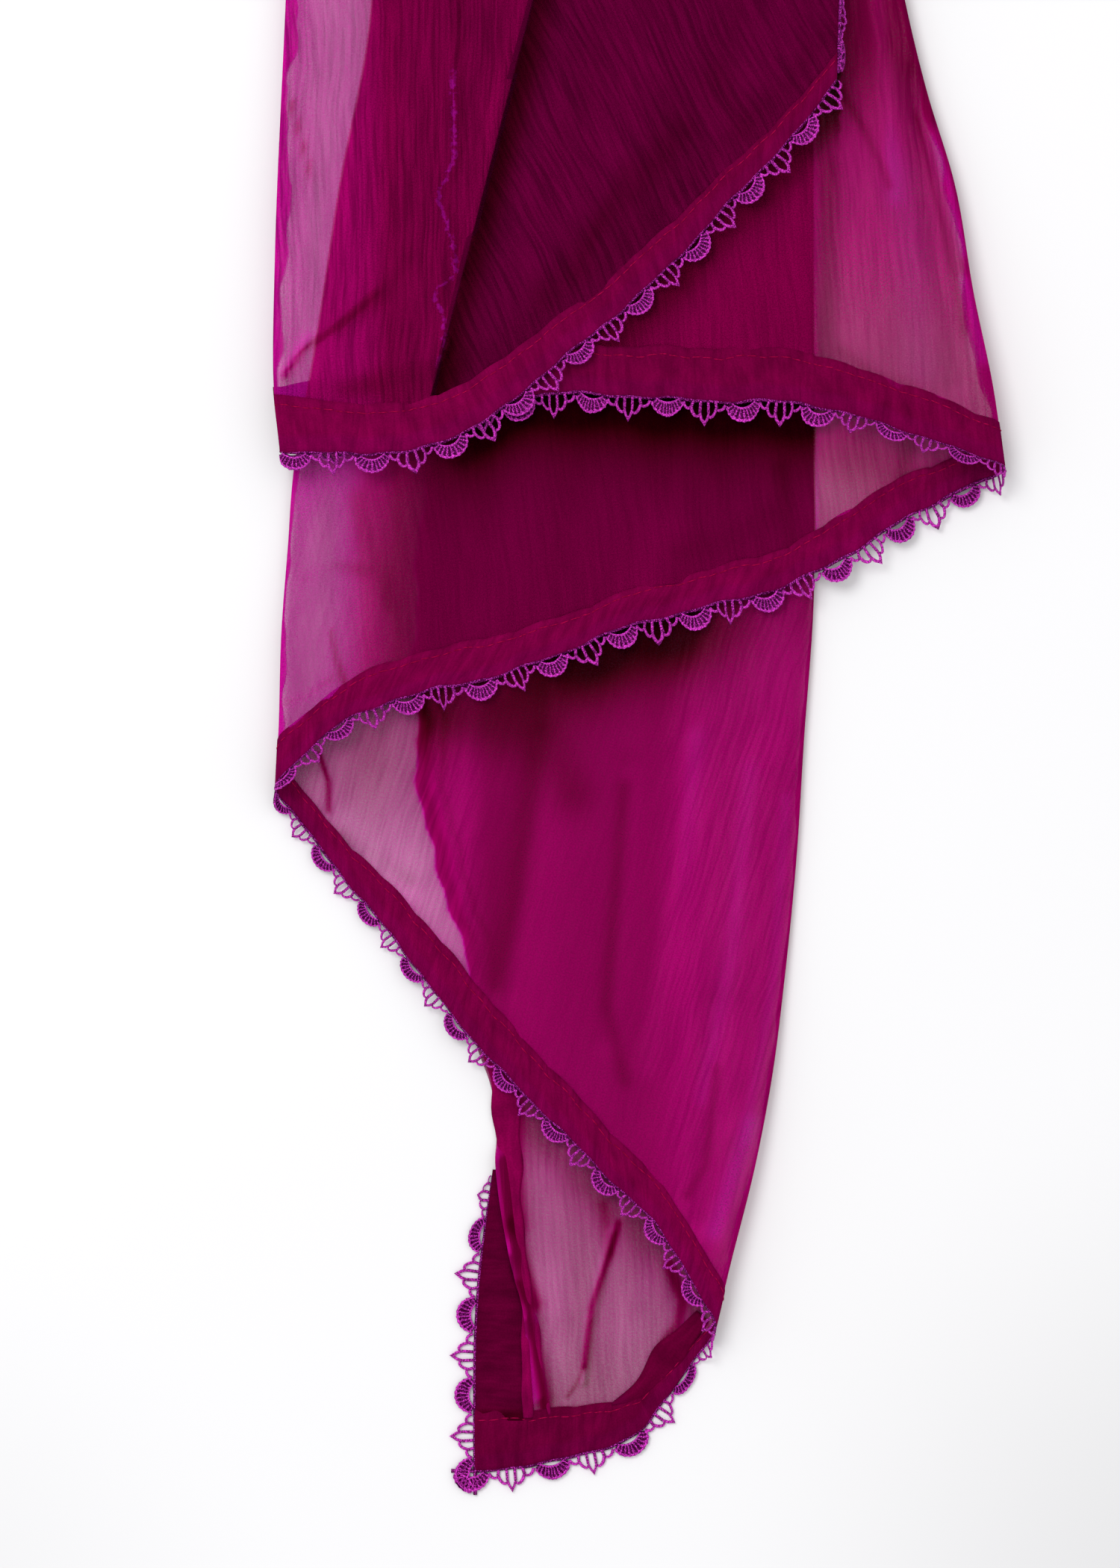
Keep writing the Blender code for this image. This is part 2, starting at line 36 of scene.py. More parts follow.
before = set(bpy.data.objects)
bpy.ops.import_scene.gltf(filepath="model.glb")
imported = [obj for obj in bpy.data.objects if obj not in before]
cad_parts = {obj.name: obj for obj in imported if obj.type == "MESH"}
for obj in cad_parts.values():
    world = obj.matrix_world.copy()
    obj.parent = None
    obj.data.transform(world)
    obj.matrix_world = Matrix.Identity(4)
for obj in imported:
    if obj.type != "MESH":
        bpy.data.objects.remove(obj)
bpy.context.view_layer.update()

# Lengths below are millimetres on the table, X across the folds, Y along the cloth
# from its shown end to its far end, Z up. They become metres when a mesh is made.
MM = 0.001
CENTRE_ACROSS, CENTRE_ALONG = -0.9, 1122.66
FRAME_ACROSS, FRAME_ALONG, FRAME_HEIGHT = -27.5, 235.0, 525.0  # what the camera sees
WALL = 1.0
PITCH = 3.2  # height from one layer of cloth to the next
SAG = 60.0  # a layer comes down over this distance past the edge of the one below
FOLD_REACH = 34.0  # how far in from a fold its roundness lifts the cloth
SPLIT_AT = 520.0  # the rows of points are fine up to here, and coarse beyond
FAR_HEM_AT, FAR_END = 2225.0, 2240.0
LACE_REPEAT, LACE_DEEP = 25.0, 8.3  # the lace is drawn at these sizes, then fitted
LACE_CLEAR = 1.1  # how far the lace's middle lies above the layer under it
SHELL_AT, POINT_AT = 6.2, 18.4  # the middle of the shell, and of the loops with their point
LOOP_JOINTS = ((11.6, 0.9), (14.2, 2.1), (16.9, 4.2), (19.8, 4.4), (22.5, 2.2), (25.3, 0.9))
LOOP_LOWS = (2.7, 5.0, 7.1, 5.3, 2.8)
PLEAT_RISE, PLEAT_STEP, PLEAT_SHARE = 2.8, 4.4, 0.27
SIDE_LIFT, SIDE_REACH = 6.5, 24.0  # the front stretch lifts at its free long side
LACE_HANG = math.radians(72)
SIDE_HEM_FROM, SIDE_HEM_TO = 22, 106
HEM_THICK, ROLL_THICK = 0.6, 0.4

Station = namedtuple("Station", "along across")
HemPoint = namedtuple("HemPoint", "across along band")
Fold = namedtuple("Fold", "line side upper lower rest opened open_at closed_at crest")
Stretch = namedtuple("Stretch", "name left right fan")
Cloth = namedtuple("Cloth", "lean layers weights pale full low high bump")
Crease = namedtuple("Crease", "layer from_across from_along to_across to_along rise width")
Patch = namedtuple("Patch", "layer width tone thin shade path")
Roll = namedtuple("Roll", "name path widths shade")


def named(kind, tables):
    """Each table's rows, with their columns named."""
    return {name: [kind(*row) for row in rows] for name, rows in tables.items()}


# Each fold and each long side as seen from above.
LINES = named(Station, {
    "left_1": [
        (346, -120.5), (372, -123), (410, -122.5), (497, -119), (800, -108), (2240, -106),
    ],
    "right_1": [
        (341, 120.5), (366, 117), (398, 110.5), (436, 104), (466, 95), (497, 87.5), (700, 80),
        (2240, 80),
    ],
    "left_2": [
        (232, -122.5), (252, -121.5), (287, -120.5), (314, -118.5), (340, -116.5), (369, -111),
        (433, -101), (497, -90), (800, -96), (2240, -98),
    ],
    "right_2": [
        (46, 22.5), (56, 25), (71, 28.5), (109, 38), (138, 43.5), (169, 47.5), (209, 51.5),
        (248, 54), (303, 57.5), (372, 57), (497, 57), (800, 70), (2240, 72),
    ],
    "side_1": [
        (469, 64), (497, 65), (800, 66), (2240, 66),
    ],
    "side_2": [
        (5, -56), (40, -56), (64, -55), (91, -52), (109, -49.5), (120, -48.5), (135, -51),
        (146, -55), (179, -58), (261, -73), (367, -68), (497, -63.5), (800, -84), (2240, -86),
    ],
    "side_2_turned": [
        (5, -40), (40, -39), (56, -39.5), (77, -44.5), (104, -48.8), (109, -49.2), (120, -48.5),
        (135, -51), (146, -55), (179, -58), (261, -73), (367, -68), (497, -63.5), (800, -84),
        (2240, -86),
    ],
    # the lace of the long side, seen through the front stretch
    "glimpse": [
        (372, -69), (380, -66), (390, -66), (399, -69.2), (403, -63), (416, -63.7), (430, -67.5),
        (442, -63), (470, -63), (480, -63.2),
    ],
})

# The hem's edge on each stretch, and how wide its border looks there.
HEMS = named(HemPoint, {
    "front": [
        (-120, 345, 17.5), (-102, 345, 15), (-81, 345, 15), (-68, 349, 14.5), (-52, 357, 14),
        (-31, 374, 13.5), (-15.5, 386, 13.5), (8, 407, 14), (34, 434, 13.5), (50, 450, 13.5),
        (64, 468, 13.5),
    ],
    "second": [
        (-120, 346, 20), (-101, 350, 20), (-65, 357.5, 18), (-27.5, 365, 15), (-2.5, 364, 15),
        (22.5, 362.5, 16), (57.5, 361, 16.5), (80, 355, 15), (100, 348.5, 15.5), (115, 343, 14),
    ],
    "third": [
        (-120, 240, 18), (-105, 253.5, 16), (-89, 261.5, 15), (-73, 266, 14), (-52, 270.5, 14.5),
        (-31, 277.5, 13.5), (-10, 286, 13), (21, 294, 12.5), (50, 302, 13), (68.5, 311, 15),
        (89.5, 324, 14), (114, 336, 11),
    ],
    "fourth": [
        (-120, 227, 13.5), (-110, 214, 14), (-97, 198, 15), (-84, 182.5, 17), (-68, 161.5, 18.5),
        (-55, 146, 18.5), (-42, 132.5, 18), (-26, 117, 17.5), (-10, 101, 17), (5.5, 85.5, 17),
        (20, 62, 17),
    ],
    "lower": [
        (-56, 5, 19), (-47, 5.5, 19), (-31, 8.5, 16.5), (-10, 13, 14.5), (3, 21, 13),
        (11, 31, 11.5), (19, 42, 10.5),
    ],
})

# Layers from the top one down. A fold joins an upper layer to the next one.
STRETCHES = [
    Stretch("front", "left_1", "side_1", ((0, 0), (PLEAT_SHARE, 0.476), (1, 1))),
    Stretch("second", "left_1", "right_1", ((0, 0), (1, 1))),
    Stretch("third", "left_2", "right_1", ((0, 0), (1, 1))),
    Stretch("fourth", "left_2", "right_2", ((0, 0), (1, 1))),
    Stretch("lower", "side_2", "right_2", ((0, 0), (1, 1))),
]
FOLDS = [
    Fold("left_1", -1, 0, 1, PITCH / 2, 3.0, 350, 460, 345.5),
    Fold("right_1", 1, 1, 2, PITCH / 2, 8.0, 345, 500, 340),
    Fold("left_2", -1, 2, 3, PITCH / 2, 4.5, 240, 330, 233.5),
    Fold("right_2", 1, 3, 4, PITCH / 2, 5.5, 60, 200, 52),
]
PLEAT_FROM, PLEAT_TO = Station(373, -68), Station(497, -36)

# The lean of each stretch's grain in degrees, the layers it counts from, what each edge
# beneath it adds to them, the light between its lines and on them, its opacity there,
# and the depth of its crinkle.
CLOTHS = [
    Cloth(26.0, 0.1, (1.3, 0.4, -1.0), 1.4, 0.62, 0.60, 0.78, 0.8),
    Cloth(4.0, 0.0, (1.2, 0.8, -1.0), 1.22, 0.78, 0.62, 0.76, 0.6),
    Cloth(7.0, 0.0, (0, 0, -2.8), 1.14, 0.86, 0.64, 0.74, 0.45),
    Cloth(-17.0, 0.0, (0, 1.0, 0), 1.2, 0.8, 0.62, 0.76, 0.25),
    Cloth(3.0, 0.0, (0, 0, 0), 1.12, 0.88, 0.65, 0.73, 0.35),
]

# Creases, listed one by one: a soft ridge, or a trough where its rise is below zero.
CREASES = [Crease(*row) for row in (
    (0, -119, 371, -111, 383, 1.0, 2.2), (0, -60, 392, -32, 470, -0.7, 7.0),
    (0, -20, 404, 6, 470, 0.7, 9.0), (0, 12, 432, 40, 500, -0.6, 8.0),
    (0, -96, 372, -92, 520, 0.6, 8.0), (1, 84, 372, 78, 500, 0.7, 9.0),
    (1, 104, 368, 90, 470, -0.8, 4.0), (1, 66, 372, 64, 470, -0.5, 6.0),
    (2, -104, 262, -108, 330, 0.7, 5.0), (2, -60, 284, -52, 350, -0.5, 9.0),
    (2, 8, 302, 2, 350, 0.6, 9.0), (2, 88, 330, 92, 352, -0.6, 3.5),
    (3, -62, 180, -54, 262, 0.5, 8.0), (3, -47, 168, -34, 246, -0.4, 7.0),
    (3, -12, 150, -5, 240, -0.4, 5.0), (3, 20, 90, 26, 160, -0.6, 6.0),
    (3, 30, 120, 40, 240, 0.6, 8.0), (3, -100, 214, -78, 200, -0.8, 4.0),
    (4, -49, 109, -44.5, 77, 2.2, 3.6), (4, -44.5, 77, -39, 56, 2.2, 3.6),
    (4, -39, 56, -34, 30, 1.8, 3.4), (4, -10, 85, -17, 56, 0.5, 1.4),
    (4, -17, 56, -19.5, 35, 0.5, 1.2), (4, 0, 70, 6, 110, -0.6, 6.0),
    (4, -30, 100, -26, 60, 0.5, 7.0),
)]

# Soft patches where the cloth looks fuller, sheerer or darker.
PATCHES = [Patch(*row) for row in (
    (0, 1.0, 0.9, -0.16, 0.12, ((-117, 462), (-110, 436))),
    (0, 1.1, 0.9, -0.16, 0.2, ((-119, 371), (-113, 379), (-100, 388), (-88, 398))),
    (0, 3.0, 0.2, 0.0, 0.14, ((-100, 386), (-84, 399), (-78, 410))),
    (0, 4.0, 0.3, 0.0, 0.12, ((-70, 373), (-98, 366))),
    (0, 2.0, -0.5, 0.0, -0.16, ((-41, 500), (-65, 384))),
    (0, 6.0, 0.1, 0.0, 0.2, ((14, 452), (-14, 420), (-34, 398))),
    (0, 3.5, 0.1, 0.0, 0.14, ((-6, 440), (-22, 404))),
    (0, 5.0, 0.0, 0.0, 0.14, ((24, 470), (34, 452))),
    (0, 6.0, -0.3, 0.0, -0.1, ((-18, 452), (-34, 410))),
    (1, 3.0, -0.4, 0.03, -0.06, ((76, 520), (84, 430))),
    (1, 1.4, 0.5, -0.07, 0.14, ((66, 466), (74, 452), (82, 434))),
    (1, 4.0, 0.5, 0.0, 0.12, ((62, 440), (60, 372))),
    (1, 6.0, -0.2, 0.02, -0.05, ((84, 470), (92, 372))),
    (1, 1.7, -0.8, 0.14, -0.06, ((97, 452), (102, 434), (107, 412))),
    (1, 2.4, -0.9, 0.12, -0.06, ((107, 402), (113, 376))),
    (1, 1.1, 0.6, -0.1, 0.1, ((91, 458), (99, 424), (104, 400), (106, 384))),
    (1, 2.2, 0.5, -0.1, 0.12, ((66, 379), (76, 371), (88, 366))),
    (2, 8.0, -0.4, 0.06, -0.06, ((-102, 345), (-114, 245))),
    (2, 1.6, 0.6, -0.08, 0.12, ((-119, 262), (-112, 264), (-104, 270))),
    (2, 1.2, 0.8, -0.12, 0.2, ((-104, 286), (-102, 276), (-99, 268))),
    (2, 2.0, 0.4, -0.05, 0.12, ((-113, 303), (-102, 308), (-92, 306))),
    (2, 4.0, 0.4, -0.05, 0.08, ((-96, 330), (-84, 296))),
    (2, 8.0, -0.2, 0.0, -0.1, ((8, 318), (-2, 296))),
    (2, 5.0, 0.1, 0.0, 0.1, ((42, 324), (28, 316), (12, 312))),
    (2, 3.0, 0.2, 0.0, 0.14, ((46, 340), (50, 316))),
    (2, 8.0, 0.2, -0.02, 0.08, ((66, 344), (90, 336))),
    (3, 9.0, 0.3, 0.0, 0.06, ((-66, 258), (-48, 250))),
    (3, 8.0, 0.4, 0.0, 0.12, ((-32, 252), (-24, 232))),
    (3, 4.0, 0.3, 0.0, 0.06, ((-36, 244), (-42, 200), (-49, 168))),
    (3, 2.6, 0.2, 0.0, 0.14, ((-6, 234), (-12, 161), (-6, 136))),
    (3, 4.0, -0.2, 0.03, -0.06, ((18, 250), (10, 190), (2, 140))),
    (3, 3.0, -0.2, 0.03, -0.06, ((36, 240), (30, 180), (20, 130))),
    (3, 2.0, -0.2, 0.03, -0.06, ((48, 230), (44, 170), (34, 116))),
    (3, 1.6, 0.4, -0.04, 0.12, ((25, 140), (21, 108), (15, 98))),
    (3, 3.0, -0.5, 0.1, -0.06, ((36, 122), (24, 86))),
    (3, 0.9, 1.0, -0.25, 0.2, ((-118, 236), (-112, 228), (-107, 220))),
    (3, 0.8, 1.0, -0.25, 0.2, ((-108, 245), (-105, 236), (-105, 226))),
    (3, 4.0, 0.0, 0.04, -0.08, ((-100, 224), (-86, 205))),
    (4, 4.0, 1.1, -0.25, 0.1, ((-44.5, 134), (-44, 105), (-43, 88))),
    (4, 2.4, 1.0, -0.2, 0.1, ((-43, 88), (-41, 76), (-38, 66), (-36, 61))),
    (4, 1.4, 1.0, -0.2, 0.1, ((-41.3, 68), (-37.2, 54.5), (-35.5, 43), (-32, 23))),
    (4, 0.95, 1.0, -0.25, 0.12, ((-8, 88), (-9.5, 82), (-12.3, 74), (-17, 60), (-18, 52), (-19.5, 40))),
    (4, 0.8, 0.5, -0.06, 0.08, ((-19.5, 40), (-22, 34), (-25, 30))),
    (4, 2.2, 0.4, -0.06, 0.08, ((-13, 94), (-11, 78))),
    (4, 1.7, 0.9, -0.14, 0.1, ((9, 74), (13.5, 62), (12, 54), (7.5, 48))),
    (4, 0.7, 0.4, -0.05, 0.08, ((-33, 24), (-28, 26), (-20, 26.5))),
    (4, 6.0, 0.0, 0.02, -0.06, ((-30, 70), (-28, 30))),
    (4, 7.0, 0.0, 0.03, -0.08, ((-4, 50), (-2, 30))),
)]

# Cloth that rolls over a band: its path, its width at four places, and its shade.
ROLLS = [
    Roll(
        "turned_end", ((-10, 27.5), (-2, 31.5), (5, 39), (11, 46), (17, 53), (20.5, 57)),
        (0.6, 4.5, 10.0, 5.0), 0.34),
    Roll(
        "rolled_edge",
        ((-51, 150), (-46.5, 134), (-45, 118), (-44, 105), (-43.4, 94), (-41.6, 82),
         (-39.8, 70), (-38.4, 58), (-38.6, 44), (-38.2, 23)),
        (6.0, 8.8, 4.2, 3.4), -0.15),
    Roll(
        "rolled_fold", ((-42.5, 74), (-40, 64), (-36, 55), (-34.5, 43), (-31, 24)),
        (2.0, 2.2, 1.8, 0.8), -0.3),
]
# How full the rolled cloth of each fold looks.
RIM = {"left_1": 1.0, "right_1": 0.9, "left_2": 0.5, "right_2": 0.35}
# How much of its depth the lace shows, by its share of the hem.
LACE_REACH = {
    "front": ((0, 0.75), (0.06, 0.9), (1, 0.9)),
    "second": ((0, 1), (0.7, 1), (0.8, 0.62), (1, 0.55)),
    "third": ((0, 0.5), (0.12, 0.72), (0.25, 1), (0.85, 1), (1, 0.8)),
    "fourth": ((0, 0.5), (0.1, 0.68), (0.45, 0.7), (0.6, 0.8), (1, 0.75)),
    "lower": ((0, 1), (0.7, 0.9), (0.8, 0.6), (1, 0.6)),
}
# The painted shade on each border, at its left end and its right end.
HEM_SHADE = {
    "front": (0.0, 0.28), "second": (0.2, 0.16), "third": (0.04, 0.1),
    "fourth": (0.1, 0.04), "lower": (0.32, 0.24),
}
CREPE = {
    "Metallic": 0.0, "Specular IOR Level": 0.0, "Sheen Weight": 0.08, "Sheen Roughness": 0.45,
    "Sheen Tint": (0.9, 0.01, 0.45, 1),
}
GLIMPSE_COLOUR = (0.30, 0.004, 0.21, 1)
# Painted shade on the floor, darkening towards the two near corners.
CORNER_SHADE = (((0.21, -1.18, 0), 0.21, 0.17), ((-0.26, -1.18, 0), 0.16, 0.08))  # corner, reach, drop


# Sizes and colours a user would change.
def length_setting(name, description, default, low, high):
    return bpy.props.FloatProperty(
        name=name, description=description, default=default, min=low, max=high, unit="LENGTH")


def colour_setting(name, description, default):
    return bpy.props.FloatVectorProperty(
        name=name, description=description, subtype="COLOR", size=3, min=0, max=1, default=default)


class StoleSizes(bpy.types.PropertyGroup):
    crinkle: length_setting(
        "Crinkle spacing", "Distance between the cloth's fine lines", 0.0013, 0.0005, 0.01)
    column_gap: length_setting(
        "Cloth detail", "Distance between points across a stretch", 0.0016, 0.001, 0.02)
    lace_depth: length_setting(
        "Lace depth", "How far the lace stands past the edge", 0.0083, 0.003, 0.02)
    cord: length_setting(
        "Lace cord", "Thickness of the lace's bars and loops", 0.00096, 0.0003, 0.002)
    stitch: length_setting("Stitch length", "Length of one stitch of the hem", 0.0031, 0.001, 0.006)
    stitch_gap: length_setting(
        "Stitch gap", "Gap from one stitch to the next", 0.0005, 0.0002, 0.004)


class StoleColours(bpy.types.PropertyGroup):
    single: colour_setting(
        "Cloth, one layer", "Colour of one layer over a pale surface", (0.54, 0.004, 0.32))
    double: colour_setting(
        "Cloth, two layers", "Colour where one layer lies beneath", (0.37, 0.001, 0.135))
    treble: colour_setting(
        "Cloth, three layers", "Colour where two layers lie beneath", (0.20, 0.0003, 0.052))
    deep: colour_setting(
        "Cloth, all layers", "Colour where every layer lies beneath", (0.115, 0.0003, 0.034))
    hem: colour_setting("Hem", "Colour of the folded border", (0.178, 0.0005, 0.048))
    # The lace's lit and dark colours are a painted highlight on its threads and painted shade between
    # them.
    lace_light: colour_setting(
        "Lace, lit thread", "Colour on top of the lace's threads", (1.0, 0.065, 0.83))
    lace_dark: colour_setting(
        "Lace, between threads", "Colour between the lace's threads", (0.075, 0.0004, 0.045))
    thread: colour_setting("Stitching", "Colour of the hem's sewing thread", (0.36, 0.003, 0.06))


class StoleStage(bpy.types.PropertyGroup):
    floor: colour_setting("Floor", "Colour of the surface it lies on", (0.9, 0.9, 0.91))
    distance: length_setting("Camera height", "Height of the camera above the surface", 1.6, 0.5, 5)
    key: bpy.props.FloatProperty(
        name="Key light", description="Power of the large light at the upper left",
        default=21, min=0, max=500, unit="POWER")
    sky: bpy.props.FloatProperty(
        name="Room light", description="Strength of the even light all round",
        default=0.82, min=0, max=5)


def ease(t):
    """0 to 1 with soft ends."""
    t = np.clip(t, 0.0, 1.0)
    return t * t * (3.0 - 2.0 * t)


def hill(gap, width):
    """1 where the gap is 0, falling off evenly on both sides."""
    return np.exp(-((gap / width) ** 2))


def unit(vectors):
    return vectors / np.maximum(np.linalg.norm(vectors, axis=-1, keepdims=True), 1e-9)


def run_along(points):
    """The length along a row of points up to each of them."""
    return np.concatenate([[0], np.cumsum(np.linalg.norm(np.diff(points, axis=0), axis=1))])


def read(values, run, at):
    """A row of points or directions, read at other lengths along it."""
    return np.stack([np.interp(at, run, values[:, c]) for c in range(values.shape[1])], 1)


def joined(parts):
    """Several pairs of points and faces as one."""
    points, faces, base = [], [], 0
    for more, polygons in parts:
        points.append(more)
        faces += [tuple(i + base for i in p) for p in polygons]
        base += len(more)
    return np.concatenate(points), faces


def through(points, values, at):
    """A smooth curve through a table's rows, level beyond its ends."""
    points = np.asarray(points, float)
    values = np.asarray(values, float)
    at = np.clip(np.asarray(at, float), points[0], points[-1])
    gaps = np.diff(points)
    slopes = np.diff(values) / gaps
    turns = np.empty(len(points))
    turns[0], turns[-1] = slopes[0], slopes[-1]
    turns[1:-1] = (gaps[1:] * slopes[:-1] + gaps[:-1] * slopes[1:]) / (gaps[1:] + gaps[:-1])
    turns[1:-1] = np.where(slopes[:-1] * slopes[1:] <= 0, 0.35 * turns[1:-1], turns[1:-1])
    i = np.clip(np.searchsorted(points, at, side="right") - 1, 0, len(gaps) - 1)
    h = gaps[i]
    t = (at - points[i]) / h
    return (
        values[i] * (1 + 2 * t) * (1 - t) ** 2
        + turns[i] * h * t * (1 - t) ** 2
        + values[i + 1] * t * t * (3 - 2 * t)
        + turns[i + 1] * h * t * t * (t - 1)
    )


def line(name, along):
    rows = LINES[name]
    return through([r.along for r in rows], [r.across for r in rows], along)


def hem_along(name, across):
    rows = HEMS[name]
    return through([r.across for r in rows], [r.along for r in rows], across)


def fold_radius(fold, along):
    opened = ease((fold.closed_at - along) / (fold.closed_at - fold.open_at))
    return fold.rest + (fold.opened - fold.rest) * opened


def fold_at(k, side):
    """The fold on this side of a stretch, if it has one there."""
    for fold in FOLDS:
        if k in (fold.upper, fold.lower) and fold.side == side:
            return fold
    return None


def tangent_line(k, side, along, turned=True):
    """Where the flat of a stretch ends: short of the fold's crest by its radius."""
    name = STRETCHES[k].left if side < 0 else STRETCHES[k].right
    if name == "side_2" and turned:
        name = "side_2_turned"
    fold = fold_at(k, side)
    return line(name, along) - (side * fold_radius(fold, along) if fold else 0)


def cover(k, x, y):
    """1 over a stretch's own area, easing to 0 past its edges."""
    s = STRETCHES[k]
    inside = np.minimum(x - line(s.left, y), line(s.right, y) - x)
    inside = np.minimum(inside, 0.75 * (y - hem_along(s.name, x) + 9.5))
    return ease((inside + SAG) / SAG)


def pleat_share(y):
    return (y - PLEAT_FROM.along) / (PLEAT_TO.along - PLEAT_FROM.along)


def pleat_at(y):
    return PLEAT_FROM.across + pleat_share(y) * (PLEAT_TO.across - PLEAT_FROM.across)


def pleat(x, y):
    """How far the front stretch is on top of its pleat, 0 to 1."""
    at = pleat_at(y)
    step = ease((at + PLEAT_STEP / 2 - x) / PLEAT_STEP)
    return step * ease(pleat_share(y) * 2) * ease((800 - y) / 200) * hill(x - at, 60.0)


def height(k, x, y):
    """Height of the middle of a stretch's cloth above the surface it lies on."""
    x, y = np.asarray(x, float), np.asarray(y, float)
    z = WALL / 2 + PITCH * sum(
        (cover(j, x, y) for j in range(k + 1, len(STRETCHES))),
        np.zeros(np.broadcast(x, y).shape))
    for fold in FOLDS:
        if k <= fold.upper:
            r = fold_radius(fold, y)
            z = z + (2 * r - PITCH) * hill(x - (line(fold.line, y) - fold.side * r), FOLD_REACH)
    if k == 0:
        z = z + PLEAT_RISE * pleat(x, y)
        z = z + SIDE_LIFT * ease((640 - y) / 110) * hill(x - line("side_1", y), SIDE_REACH)
    return z


def away_from(points, a, b):
    """Distance in plan from points to the straight run from a to b."""
    a, b = np.asarray(a, float), np.asarray(b, float)
    t = np.clip(((points - a) @ (b - a)) / ((b - a) @ (b - a)), 0, 1)
    return np.linalg.norm(points - (a + t[..., None] * (b - a)), axis=-1)


def creased(k, grid):
    """How far the creases lift each point, and how dense they make the cloth."""
    rise = np.zeros(grid.shape[:2])
    dense = np.zeros(grid.shape[:2])
    for c in CREASES:
        if c.layer != k:
            continue
        gap = away_from(grid[..., :2], (c.from_across, c.from_along), (c.to_across, c.to_along))
        soft = hill(gap, c.width)
        rise += c.rise * soft
        if c.rise > 0.9 and c.width < 4:
            dense = np.maximum(dense, 0.9 * soft)
    x, y = grid[..., 0], grid[..., 1]
    waves = 0.22 * np.sin(x / 7.3 + 1.7 * k) * np.sin(y / 31.0 + 0.9 * k)
    waves += 0.16 * np.sin(x / 3.9 - y / 44.0 + 2.3 * k) + 0.2 * np.sin(y / 17.0 + x / 23.0 + k)
    return rise + waves * ease((y - hem_along(STRETCHES[k].name, x) - 14) / 20), dense


def hem_row(k, count):
    """Evenly spaced points of the hem's edge, and of its stitch line."""
    rows = HEMS[STRETCHES[k].name]
    low = np.linspace(rows[0].across, rows[-1].across, 400)
    edge = np.stack([low, hem_along(STRETCHES[k].name, low)], 1)
    run = run_along(edge)
    at = np.linspace(0, run[-1], count)
    x = np.interp(at, run, low)
    ripple = 0.4 * np.sin(at / 5.3 + 1.7 * k) + 0.28 * np.sin(at / 2.3 + 0.8 * k)
    ripple *= ease(at / 20) * ease((run[-1] - at) / 20)
    edge = np.stack([x, np.interp(at, run, edge[:, 1]) + ripple], 1)
    along = unit(np.gradient(edge, axis=0))
    up = np.stack([-along[:, 1], along[:, 0]], 1)
    band = np.interp(x, [r.across for r in rows], [r.band for r in rows])
    return edge, edge + up * band[:, None]


def shares(points, left, right):
    """Each point's place between the two tangent lines, 0 to 1."""
    x0, x1 = left(points[:, 1]), right(points[:, 1])
    share = (points[:, 0] - x0) / (x1 - x0)
    return np.clip((share - share[0]) / (share[-1] - share[0]), 0, 1)


def across_row(left, right, share, y):
    """A row of plan points at their shares of the way from left to right."""
    x0, x1 = left(y), right(y)
    return np.stack([x0 + share * (x1 - x0), y], 1)


def band_grid(k, columns, rows, reach=1.0):
    """Plan points of the hem's border, from its edge to its stitch line."""
    left = lambda y: tangent_line(k, -1, y, False)
    right = lambda y: tangent_line(k, 1, y)
    edge, stitch = hem_row(k, columns)
    at_edge, at_stitch = shares(edge, left, right), shares(stitch, left, right)
    grid = []
    for t in np.linspace(0, reach, rows):
        y = edge[:, 1] + (stitch[:, 1] - edge[:, 1]) * t
        grid.append(across_row(left, right, at_edge + (at_stitch - at_edge) * t, y))
    return np.array(grid)


def cloth_grid(k, columns, rows, rear_rows):
    """Plan points of the ground cloth, from the stitch line to the far hem."""
    left = lambda y: tangent_line(k, -1, y)
    right = lambda y: tangent_line(k, 1, y)
    stitch = band_grid(k, 300, 2)[-1]
    if k == 4:
        stitch = stitch[stitch[:, 0] >= left(stitch[:, 1])]
    run = run_along(stitch)
    at = np.linspace(0, run[-1], columns)
    if k == 0:
        # closer columns where the pleat steps up
        here = PLEAT_SHARE * run[-1]
        at = [a for a in at if abs(a - here) > PLEAT_STEP]
        at = np.sort(np.concatenate([at, here + PLEAT_STEP * np.linspace(-0.5, 0.5, 7)]))
    stitch = read(stitch, run, at)
    at_stitch = shares(stitch, left, right)
    top_share = np.interp(at_stitch, *zip(*STRETCHES[k].fan))
    start = stitch[:, 1] - 0.4
    grid = []
    for t in np.linspace(0, 1, rows) ** 1.15:
        share = at_stitch + (top_share - at_stitch) * t
        grid.append(across_row(left, right, share, start + (SPLIT_AT - start) * t))
    for y in np.linspace(SPLIT_AT, FAR_HEM_AT + 0.4, rear_rows)[1:]:
        grid.append(across_row(left, right, top_share, np.full(len(at), y)))
    return np.array(grid)


